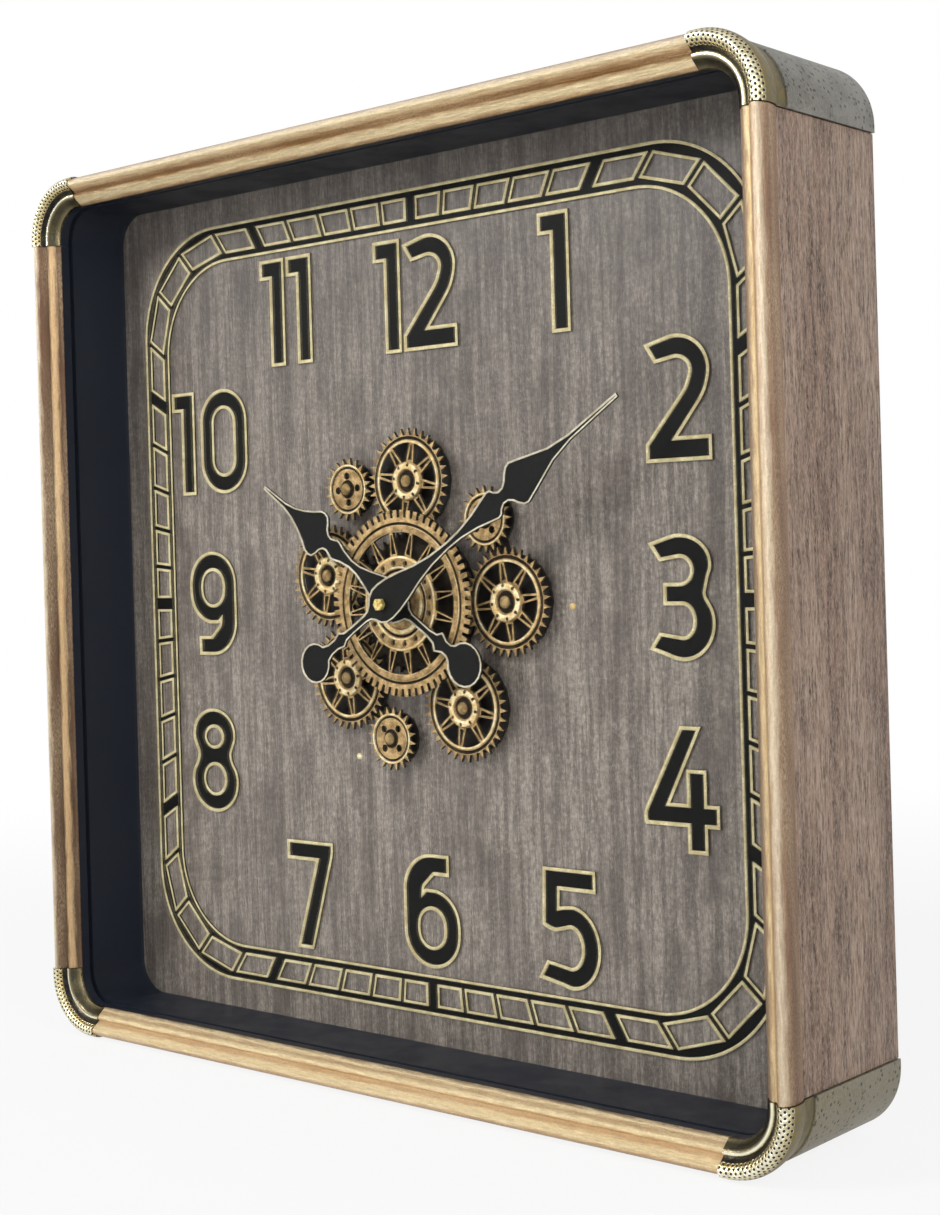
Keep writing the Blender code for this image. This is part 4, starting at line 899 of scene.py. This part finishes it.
def dialFinish():
    # grey brown veneer under lacquer: long streaks, short dashes and soft dark patches, and a painted shadow
    # over its upper part
    material, tree, shader = newFinish("greyBrownDial", 0.4, 0.0, 0.3, 0.06)
    shader.inputs["Specular IOR Level"].default_value = 0.25
    vector = objectVector(tree)
    streaks = useGroup(tree, woodGrain, vector, Streak_Size=0.0034, Length=18.0)
    dashes = useGroup(tree, woodGrain, vector, Streak_Size=0.0011, Length=5.0)
    mottle = useGroup(tree, patina, vector, Blotch_Size=0.035, Speckle_Size=0.0022)
    bands = remap(tree, streaks["Streaks"], 0.15, 0.85)
    colour = mixColours(tree, bands, tone(94, 85, 79), tone(176, 165, 152))
    colour = tint(tree, colour, dashes["Pores"], 0.6, tone(202, 190, 175))
    colour = tint(tree, colour, mathNode(tree, "SUBTRACT", 1.0, dashes["Streaks"]), 0.6, tone(76, 68, 63))
    shade = mathNode(tree, "MULTIPLY", mottle["Blotches"], streaks["Patches"])
    colour = tint(tree, colour, shade, 0.6, tone(84, 74, 68))
    colour = tint(tree, colour, mottle["Speckle"], 0.4, tone(84, 76, 72))
    parts = tree.nodes.new("ShaderNodeSeparateXYZ")
    tree.links.new(vector, parts.inputs[0])
    paintedTopShadow = remap(tree, parts.outputs[2], 0.02, 0.26, 0.0, 0.36)  # painted shadow of the case's top: the upper dial is darker
    tree.links.new(mixColours(tree, paintedTopShadow, colour, tone(74, 70, 70)), shader.inputs["Base Color"])
    roughenBy(tree, shader, dashes["Pores"], 0.12, 0.36)
    bumpFrom(tree, shader, dashes["Streaks"], 0.00005, 0.5)
    return material


dialWood = dialFinish()
paleGold = metalFinish("paleGoldEdge", tone(250, 240, 200), tone(224, 210, 164), 0.5, 0.5, 0.01, 0.001,
                       0.00003)
blackTrim = blackFinish("blackTrim", tone(20, 20, 19), 0.5, shine=0.09)
blackHands = blackFinish("blackHands", tone(22, 22, 21), 0.5, shine=0.11)
antiqueGold = metalFinish("antiqueGold", tone(222, 196, 148), tone(164, 138, 98), 0.32, 1.0, 0.005, 0.0011,
                          0.00005)
# the bright gold paints highlights on the gears' edges and crests and colours the dial screws; the dark
# bronze paints shade on the gears' flanks, grooves and holes
brightGold = metalFinish("brightGold", tone(255, 246, 214), tone(226, 198, 138), 0.24, 1.0, 0.006, 0.0011,
                         0.00003)
paintedShadeBronze = metalFinish("paintedShadeBronze", tone(74, 60, 44), tone(40, 33, 25), 0.45, 0.5, 0.008, 0.0012)
darkGround = blackFinish("darkGround", tone(34, 31, 28), 0.5, 0.35)
paintedShadeBrass = metalFinish("paintedShadeBrass", tone(66, 56, 44), tone(40, 35, 30), 0.5, 0.3, 0.008, 0.0012)


def edgeWithGold(piece, frontY, lip, core, edge):
    # a rounded lip round every edge of the front face, and a lower core
    setMaterials(piece, core, edge)
    width, rise, drop = lip
    selectFaces(piece, lambda face: (
        face.normal.y < -0.95 and abs(face.calc_center_median().y - frontY) < 0.0001))
    leaveEdit()
    for face in piece.data.polygons:
        face.material_index = 1 if face.select else 0
    bpy.ops.object.mode_set(mode="EDIT")
    for share, depth in ((0.24, rise), (0.52, 0.0), (0.24, -(rise + drop))):
        bpy.ops.mesh.inset(thickness=share * width, depth=depth, use_boundary=True, use_even_offset=True)
    leaveEdit()
    for face in piece.data.polygons:
        if face.select:
            face.material_index = 0
    piece.data.update()
    smoothBy(piece, 32)
    for face in piece.data.polygons:
        if face.material_index == 0:
            face.use_smooth = False


setMaterials(nodes["dial_panel"], dialWood)
innerWall = plateFromOutline("liner", "inner_wall", 5)
smoothBy(innerWall, 30)
setMaterials(innerWall, liner)
place(innerWall, "case", "liner", "liner")

track = plateFromOutline("minute_track", "track_raised", 4)
edgeWithGold(track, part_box("minute_track")[0].y, lips["track"], blackTrim, paleGold)
place(track, "case", "black_trim", "minute_track")
for nodeName in sorted(name for name in nodes if name.startswith("numeral_")):
    digit = plateFromOutline(nodeName, nodeName.replace("numeral", "digit"), 3)
    edgeWithGold(digit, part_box(nodeName)[0].y, lips["numeral"], blackTrim, paleGold)
    place(digit, "case", "black_trim", nodeName)
print("dial made")


# a ring has its radius, half width and height, a groove its radius and half width, holes their count, orbit
# and radius, and slots their count, the radii of their ends and the half widths there
gearValues = {
    "centre": {
        "tipWidening": 1.35, "ring": (0.047, 0.0021, 0.0009), "hub": (0.0259, 0.0042, 0.0012),
        "inner": (0.018, 0.0020, 0.0012), "ringCrest": "antique", "darkWithin": 0.0,
        "grooves": ((0.0502, 0.0009), (0.0208, 0.0008)), "holes": (16, 0.0256, 0.0018),
        "slots": (16, 0.0312, 0.0436, 0.0019, 0.0005)},
    "satellite": {
        "tipWidening": 1.55, "ring": (0.0251, 0.0007, 0.0006), "hub": (0.0097, 0.0028, 0.0019),
        "shade": (0.0056, 0.0015, 0.0002), "ringCrest": "bright", "darkWithin": 0.0072,
        "grooves": ((0.0275, 0.0011),), "holes": (8, 0.0102, 0.0011),
        "slots": (8, 0.0135, 0.0235, 0.0017, 0.0005)},
    "small": {
        "tipWidening": 1.55, "ring": (0.0156, 0.0006, 0.0004), "ringCrest": "bright", "darkWithin": 0.0058,
        "grooves": ((0.0139, 0.0008), (0.0052, 0.0008))}}
satellites = {  # node: body, angle of a spoke
    "satellite_top": ("gear_top", 35.0), "satellite_right": ("gear_right", 8.0),
    "satellite_lower_right": ("gear_lower_right", 34.5), "satellite_lower_left": ("gear_lower_left", 8.0),
    "satellite_left": ("gear_left", 35.0)}
smallGears = {
    "small_gear_upper_left": ("pinion_upper_left", 4.0),
    "small_gear_upper_right": ("pinion_upper_right", 40.0),
    "small_gear_bottom": ("pinion_bottom", 47.0)}
axes = {}  # body: x and z of the axis that it turns about
for joint in frame["joints"]:
    if joint["type"] == "hinge":
        axes[joint["child"]] = joint["pos_m"][0], joint["pos_m"][2]


def reachFrom(centre, point):
    # the distance from a gear's axis
    return math.hypot(point.x - centre[0], point.z - centre[1])


def ringAt(name, centre, frontY, radius, halfWide, halfHigh, steps=96):
    # a flattened torus lying on the gear's face
    deselectAll()
    bpy.ops.mesh.primitive_torus_add(major_radius=radius, minor_radius=halfWide, major_segments=steps,
                                     minor_segments=14, location=(0, 0, 0))
    piece = named(name)
    editAll(piece)
    bpy.ops.transform.resize(value=(1, 1, halfHigh / halfWide))
    bpy.ops.transform.rotate(value=math.radians(90), orient_axis="X", center_override=(0, 0, 0))
    bpy.ops.transform.translate(value=(centre[0], frontY, centre[1]))
    leaveEdit()
    return freeze(piece)


def slotCutters(centre, frontY, backY, count, angle, inner, outer, innerHalf, outerHalf):
    # wedges that split each spoke into two ribs
    cutters = []
    for index in range(count):
        turn = math.radians(angle + 360.0 * index / count)
        deselectAll()
        bpy.ops.mesh.primitive_cube_add(size=1.0, location=(0, 0, 0))
        cutter = named("slotCutter")
        for vertex in cutter.data.vertices:
            outward = vertex.co.x > 0
            reach = outer if outward else inner
            half = outerHalf if outward else innerHalf
            sideways = half if vertex.co.z > 0 else -half
            x = centre[0] + reach * math.cos(turn) - sideways * math.sin(turn)
            z = centre[1] + reach * math.sin(turn) + sideways * math.cos(turn)
            vertex.co = (x, backY + 0.001 if vertex.co.y > 0 else frontY - 0.001, z)
        cutters.append(cutter)
    return joinPieces(cutters)


def holeCutters(centre, frontY, count, orbit, radius, depth, angle):
    cutters = []
    for index in range(count):
        turn = math.radians(angle + 360.0 * index / count)
        deselectAll()
        bpy.ops.mesh.primitive_cylinder_add(
            vertices=12, radius=radius, depth=2 * depth, rotation=(math.radians(90), 0, 0),
            location=(centre[0] + orbit * math.cos(turn), frontY, centre[1] + orbit * math.sin(turn)))
        cutter = named("holeCutter")
        editAll(cutter)
        bpy.ops.mesh.bevel(offset=0.15 * radius, segments=1)
        leaveEdit()
        cutters.append(freeze(cutter))
    return joinPieces(cutters)


def widenTips(plate, centre, factor):
    # makes each tooth blunter, about the middle of its tip
    reach = max(reachFrom(centre, vertex.co) for vertex in plate.data.vertices)
    tips = [vertex for vertex in plate.data.vertices if reachFrom(centre, vertex.co) > reach - 0.0004]
    moves = []
    for tip in tips:
        own = [other.co for other in tips
               if (other.co - tip.co).length < 0.0026 and abs(other.co.y - tip.co.y) < 0.0002]
        middle = sum(own, Vector()) / len(own)
        moves.append((tip, middle + (tip.co - middle) * factor))
    for tip, spot in moves:
        tip.co = spot


def makeGear(nodeName, pieceName, body, angle, values):
    low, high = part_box(nodeName)
    frontY, centre = low.y, axes[body]
    plate = copyOfNode(nodeName, pieceName)
    widenTips(plate, centre, values["tipWidening"])
    cutters = [ringAt("grooveCutter", centre, frontY, radius, half, half)
               for radius, half in values["grooves"]]
    if "slots" in values:
        count, *slot = values["slots"]
        cutters.append(slotCutters(centre, frontY, high.y, count, angle, *slot))
    cutWith(plate, cutters)
    softenEdges(plate, 0.00034, 1, 40)
    rings = [ringAt("ring", centre, frontY, *values["ring"])]
    if "inner" in values:
        rings.append(ringAt("innerRing", centre, frontY, *values["inner"]))
    if "shade" in values:
        rings.append(ringAt("shadeRing", centre, frontY, *values["shade"], 48))
    if "hub" in values:
        hub, hubHeight = ringAt("hub", centre, frontY, *values["hub"]), values["hub"][2]
        holes = holeCutters(centre, frontY - hubHeight, *values["holes"], 0.82 * hubHeight, angle)
        rings.append(cutWith(hub, [holes]))
    gear = joinPieces([plate] + rings)
    gear.name = pieceName
    smoothBy(gear, 38)
    setMaterials(gear, antiqueGold, paintedShadeBronze, brightGold)
    paintGear(gear, centre, frontY, values)
    return place(gear, body, "gear", nodeName)


def paintGear(gear, centre, frontY, values):
    # rubbed crests and edges are bright with painted highlights, and flanks, grooves, holes and the middle
    # round the dome are dark with painted shade
    antique, dark, bright = 0, 1, 2
    crest = {"antique": antique, "bright": bright}[values["ringCrest"]]
    ringRadius, ringHalf = values["ring"][:2]
    for face in gear.data.polygons:
        middle, facing = face.center, -face.normal.y
        radius = reachFrom(centre, middle)
        finish = antique
        if middle.y < frontY - 0.0001:  # on a ring or the hub
            finish = bright if facing > 0.86 else antique
            if abs(radius - ringRadius) < ringHalf * 1.1:
                finish = crest if facing > 0.75 else bright
            if "inner" in values and abs(radius - values["hub"][0]) < 0.6 * values["hub"][1]:
                finish = antique
        elif facing < 0.97:  # a softened edge, or a flank
            finish = bright if facing > 0.5 else dark
        if middle.y > frontY + 0.0006 or facing < 0.12:
            finish = dark
        for grooveRadius, half in values["grooves"]:
            if abs(radius - grooveRadius) < half * 1.02 and middle.y > frontY + 0.00005:
                finish = dark
        reach = max(reachFrom(centre, gear.data.vertices[index].co) for index in face.vertices)
        if reach < values["darkWithin"] * 1.06 and middle.y > frontY - 0.0003:
            finish = dark
        if "holes" in values:
            count, orbit, holeRadius = values["holes"]
            inHub = middle.y > frontY - 0.86 * values["hub"][2] and abs(radius - orbit) < 1.3 * holeRadius
            if inHub and face.area < 2e-5 and facing > 0.9:  # the bottom of a hole
                finish = dark
        face.material_index = finish


makeGear("gear_centre", "centre_gear", "centre_gears", 8.5, gearValues["centre"])
for nodeName, (body, angle) in satellites.items():
    makeGear(nodeName, nodeName + "_gear", body, angle, gearValues["satellite"])
for nodeName, (body, angle) in smallGears.items():
    makeGear(nodeName, nodeName + "_wheel", body, angle, gearValues["small"])


def domeAt(name, x, z, baseY, radius, height, material):
    # a round head that stands on a face
    deselectAll()
    bpy.ops.mesh.primitive_uv_sphere_add(segments=28, ring_count=14, radius=radius)
    dome = named(name)
    editAll(dome)
    bpy.ops.mesh.bisect(plane_co=(0, 0, 0), plane_no=(0, 0, 1), use_fill=True, clear_inner=True)
    bpy.ops.mesh.select_all(action="SELECT")
    bpy.ops.transform.resize(value=(1, 1, height / radius), center_override=(0, 0, 0))
    bpy.ops.transform.rotate(value=math.radians(-90), orient_axis="X", center_override=(0, 0, 0))
    bpy.ops.transform.translate(value=(x, baseY, z))
    leaveEdit()
    freeze(dome)
    smoothBy(dome, 60)
    setMaterials(dome, material)
    return place(dome, "case", "gear")


brassDome = metalFinish("brassDome", tone(206, 182, 136), tone(150, 126, 84), 0.3, 1.0, 0.004, 0.001, 0.00003)
postCap = {"radius": 0.0038, "height": 0.0018, "material": brassDome}
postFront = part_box("mechanism_plate")[0].y
for index, (body, angle) in enumerate([*satellites.values(), *smallGears.values()]):
    x, z = axes[body]
    domeAt("post_dome_%d" % (index + 1), x, z, postFront + 0.0004, **postCap)  # 0.4 mm into its post
# the mechanism plate and the rear gear are near-black, as painted shade seen through the gears' openings
setMaterials(nodes["mechanism_plate"], darkGround)
setMaterials(nodes["gear_rear"], paintedShadeBrass)
print("gears made")


handGold = metalFinish("handGold", tone(250, 244, 226), tone(212, 202, 176), 0.5, 0.5, 0.008, 0.001, 0.00003)
for nodeName, pieceName, body in (("minute_hand", "minute_hand_blade", "minute_hand_group"),
                                  ("hour_hand", "hour_hand_blade", "hour_hand_group")):
    blade = copyOfNode(nodeName, pieceName)
    fronts = [face.center.y for face in blade.data.polygons if face.normal.y < -0.95 and face.area > 0.0001]
    edgeWithGold(blade, min(fronts), lips["hand"], blackHands, handGold)
    place(blade, body, "black_trim", nodeName)
yellowBrass = metalFinish("yellowBrass", tone(252, 238, 176), tone(196, 172, 96), 0.26, 1.0, 0.003, 0.001,
                          0.00003)
nut = copyOfNode("hand_nut", "hand_nut_brass")
softenEdges(nut, 0.0003, 2, 30)
smoothBy(nut)
setMaterials(nut, yellowBrass)
place(nut, "minute_hand_group", "gear", "hand_nut")
print("hands made")


glass, glassTree, glassShader = newFinish("clearGlass", 0.02, 0.0)
glassShader.inputs["Transmission Weight"].default_value = 1.0
glassShader.inputs["IOR"].default_value = 1.02  # low, so that the numerals show no second image
glassShader.inputs["Alpha"].default_value = 0.08
glassWear = useGroup(glassTree, patina, objectVector(glassTree), Blotch_Size=0.05, Speckle_Size=0.002)
glassTree.links.new(mixColours(glassTree, glassWear["Blotches"], tone(250, 252, 252), tone(244, 248, 248)),
                    glassShader.inputs["Base Color"])

steel = metalFinish("zincSteel", tone(196, 198, 200), tone(150, 152, 156), 0.35, 1.0, 0.01, 0.0014)
blackPlastic = blackFinish("blackPlastic", tone(34, 34, 35), 0.5, 0.35)
cellSleeve = metalFinish("cellSleeve", tone(64, 88, 114), tone(50, 70, 96), 0.35, 0.2, 0.02, 0.002)
rawBoard = woodFinish("rawBoard", light=tone(190, 164, 130), middle=tone(164, 136, 102),
                      dark=tone(128, 102, 74), streak=0.0035, length=9.0, roughness=0.7)

# the pane's rear face has a dark border, as wide as the moulding hides, and its sides are dark too; this
# border is painted shade in the gap behind the moulding
sheet = copyOfNode("glass_pane", "glass_sheet")
paneInset = min(caseValues["halfWidth"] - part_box("glass_pane")[1].x,
                caseValues["halfHeight"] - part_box("glass_pane")[1].z)
selectFaces(sheet, lambda face: face.normal.y > 0.9)
bpy.ops.mesh.inset(thickness=caseValues["mouldingWidth"] - paneInset, use_even_offset=True)
leaveEdit()
setMaterials(sheet, glass, liner)
paintFaces(sheet, 1, lambda face: (face.normal.y > 0.9 and not face.select) or abs(face.normal.y) < 0.5)
place(sheet, "case", "glass", "glass_pane")

plainNodes = {
    steel: ("centre_bush", "switch_slider", "keyhole_left", "keyhole_right"),
    blackPlastic: ("movement_case", "set_knob", "motor_case", "motor_lid"),
    cellSleeve: ("movement_cell",), rawBoard: ("batten_frame", "back_panel")}
for material, nodeNames in plainNodes.items():
    for nodeName in nodeNames:
        setMaterials(nodes[nodeName], material)

dialScrew = {"radius": 0.0022, "height": 0.0014, "material": brightGold}
for index, (x, z) in enumerate(((0.1208, -0.0032), (-0.060, -0.101))):
    domeAt("dial_screw_%d" % (index + 1), x, z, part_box("dial_panel")[0].y, **dialScrew)

backScrew = {"radius": 0.0038, "depth": 0.0024, "proud": 0.0002, "inset": 0.011,
             "cross": (0.0046, 0.0024, 0.0011), "upperShare": 0.6, "middleShare": 0.45}


def makeBackScrew():
    # a countersunk head with a cross in it
    deselectAll()
    bpy.ops.mesh.primitive_cone_add(
        vertices=32, radius1=backScrew["radius"], radius2=0.5 * backScrew["radius"], depth=backScrew["depth"],
        rotation=(math.radians(90), 0, 0), location=(0, backScrew["proud"] - 0.5 * backScrew["depth"], 0))
    head = freeze(named("back_screw_1"))
    cutters = []
    for turn in (0, 90):
        bpy.ops.mesh.primitive_cube_add(
            size=1.0, scale=backScrew["cross"], location=(0, backScrew["proud"], 0),
            rotation=(0, math.radians(turn), 0))
        cutters.append(freeze(named("crossCutter")))
    cutWith(head, cutters)
    softenEdges(head, 0.00015)
    smoothBy(head)
    setMaterials(head, steel)
    return head


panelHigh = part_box("back_panel")[1]
reachX, reachZ = panelHigh.x - backScrew["inset"], panelHigh.z - backScrew["inset"]
quarters = [(x * reachX, z * reachZ) for x in (-1, 1) for z in (-1, 1)]
spots = [(x, backScrew["upperShare"] * z) for x, z in quarters]
spots += [(backScrew["middleShare"] * x, z) for x, z in quarters]
firstScrew = makeBackScrew()
for index, (x, z) in enumerate(spots):
    screw = firstScrew.copy()
    screw.data = firstScrew.data.copy()
    bpy.context.collection.objects.link(screw)
    screw.name = screw.data.name = "panel_screw_%d" % (index + 1)
    screw.data.transform(Matrix.Translation((x, panelHigh.y, z)))
    place(screw, "case", "steel")
bpy.data.objects.remove(firstScrew)
print("back made")


def showWhite(tree, own, white, output, fade=None):
    # cameras, mirrors and glass see plain white, and the light on the object stays as it is
    path = tree.nodes.new("ShaderNodeLightPath")
    seen = mathNode(tree, "MAXIMUM", path.outputs["Is Camera Ray"], path.outputs["Is Glossy Ray"])
    seen = mathNode(tree, "MAXIMUM", seen, path.outputs["Is Transmission Ray"])
    if fade is not None:
        seen = mathNode(tree, "MULTIPLY", seen, fade)
    blendShader = tree.nodes.new("ShaderNodeMixShader")
    for socket, source in zip(blendShader.inputs, (seen, own, white)):
        tree.links.new(source, socket)
    tree.links.new(blendShader.outputs[0], output)


deselectAll()
bpy.ops.mesh.primitive_plane_add(size=16.0, location=(0, 0, cadBox[0].z - 0.0006))
floor = named("floor")
floorPaint, floorTree, floorShader = newFinish("paleFloor", 0.9)
floorShader.inputs["Base Color"].default_value = (0.86, 0.86, 0.86, 1.0)
glow = addNode(floorTree, "ShaderNodeEmission", Color=(1, 1, 1, 1), Strength=1.0)
farOff = addNode(floorTree, "ShaderNodeVectorMath", operation="LENGTH")
floorTree.links.new(objectVector(floorTree), farOff.inputs[0])
shadowFade = remap(floorTree, farOff.outputs["Value"], 0.45, 1.6, 0.86, 1.0)
showWhite(floorTree, floorShader.outputs[0], glow.outputs[0],
          floorTree.nodes["Material Output"].inputs["Surface"], shadowFade)
setMaterials(floor, floorPaint)

world = bpy.data.worlds.new("studio")
bpy.context.scene.world = world
world.use_nodes = True
worldTree = world.node_tree
ambient = worldTree.nodes["Background"]
ambient.inputs["Color"].default_value = (0.9, 0.95, 1.0, 1.0)
ambient.inputs["Strength"].default_value = 0.35
whiteWall = addNode(worldTree, "ShaderNodeBackground", Color=(1, 1, 1, 1), Strength=1.0)
showWhite(worldTree, ambient.outputs[0], whiteWall.outputs[0],
          worldTree.nodes["World Output"].inputs["Surface"])

lamps = {  # name: place, size, power
    "key": ((-0.9, -1.7, 1.1), 0.5, 23.0),
    "fill": ((1.7, -0.9, 0.5), 1.2, 15.0),
    "low": ((0.2, -1.8, -0.1), 1.4, 3.0)}
aim = Vector((0, -0.05, 0))
for name, (position, size, power) in lamps.items():
    lamp = bpy.data.lights.new(name, "AREA")
    lamp.energy = power
    lamp.size = size
    holder = bpy.data.objects.new(name, lamp)
    bpy.context.collection.objects.link(holder)
    holder.location = position
    holder.rotation_euler = (aim - Vector(position)).to_track_quat("-Z", "Y").to_euler()

view = {  # fitted to the case and the dial, the last row in pixels of the photograph
    "place": (0.8377, -0.9672, 0.0319), "forward": (-0.6557, 0.7551, -0.0030), "up": (0.0199, 0.0212, 0.9996),
    "focal": 1952.59, "shiftDown": 51.12, "imageHeight": 1215, "sensor": 36}
camera = bpy.data.cameras.new("camera")
cameraHolder = bpy.data.objects.new("camera", camera)
bpy.context.collection.objects.link(cameraHolder)
forward = Vector(view["forward"]).normalized()
right = forward.cross(Vector(view["up"])).normalized()
up = right.cross(forward)
spotInAir = Vector(view["place"])
cameraHolder.matrix_world = Matrix((
    (right.x, up.x, -forward.x, spotInAir.x), (right.y, up.y, -forward.y, spotInAir.y),
    (right.z, up.z, -forward.z, spotInAir.z), (0, 0, 0, 1)))
camera.sensor_width = view["sensor"]
camera.lens = view["focal"] / view["imageHeight"] * view["sensor"]
camera.shift_y = -view["shiftDown"] / view["imageHeight"]
camera.clip_start = 0.01
bpy.context.scene.camera = cameraHolder
bpy.context.scene.view_settings.view_transform = "Standard"
print("stage set")
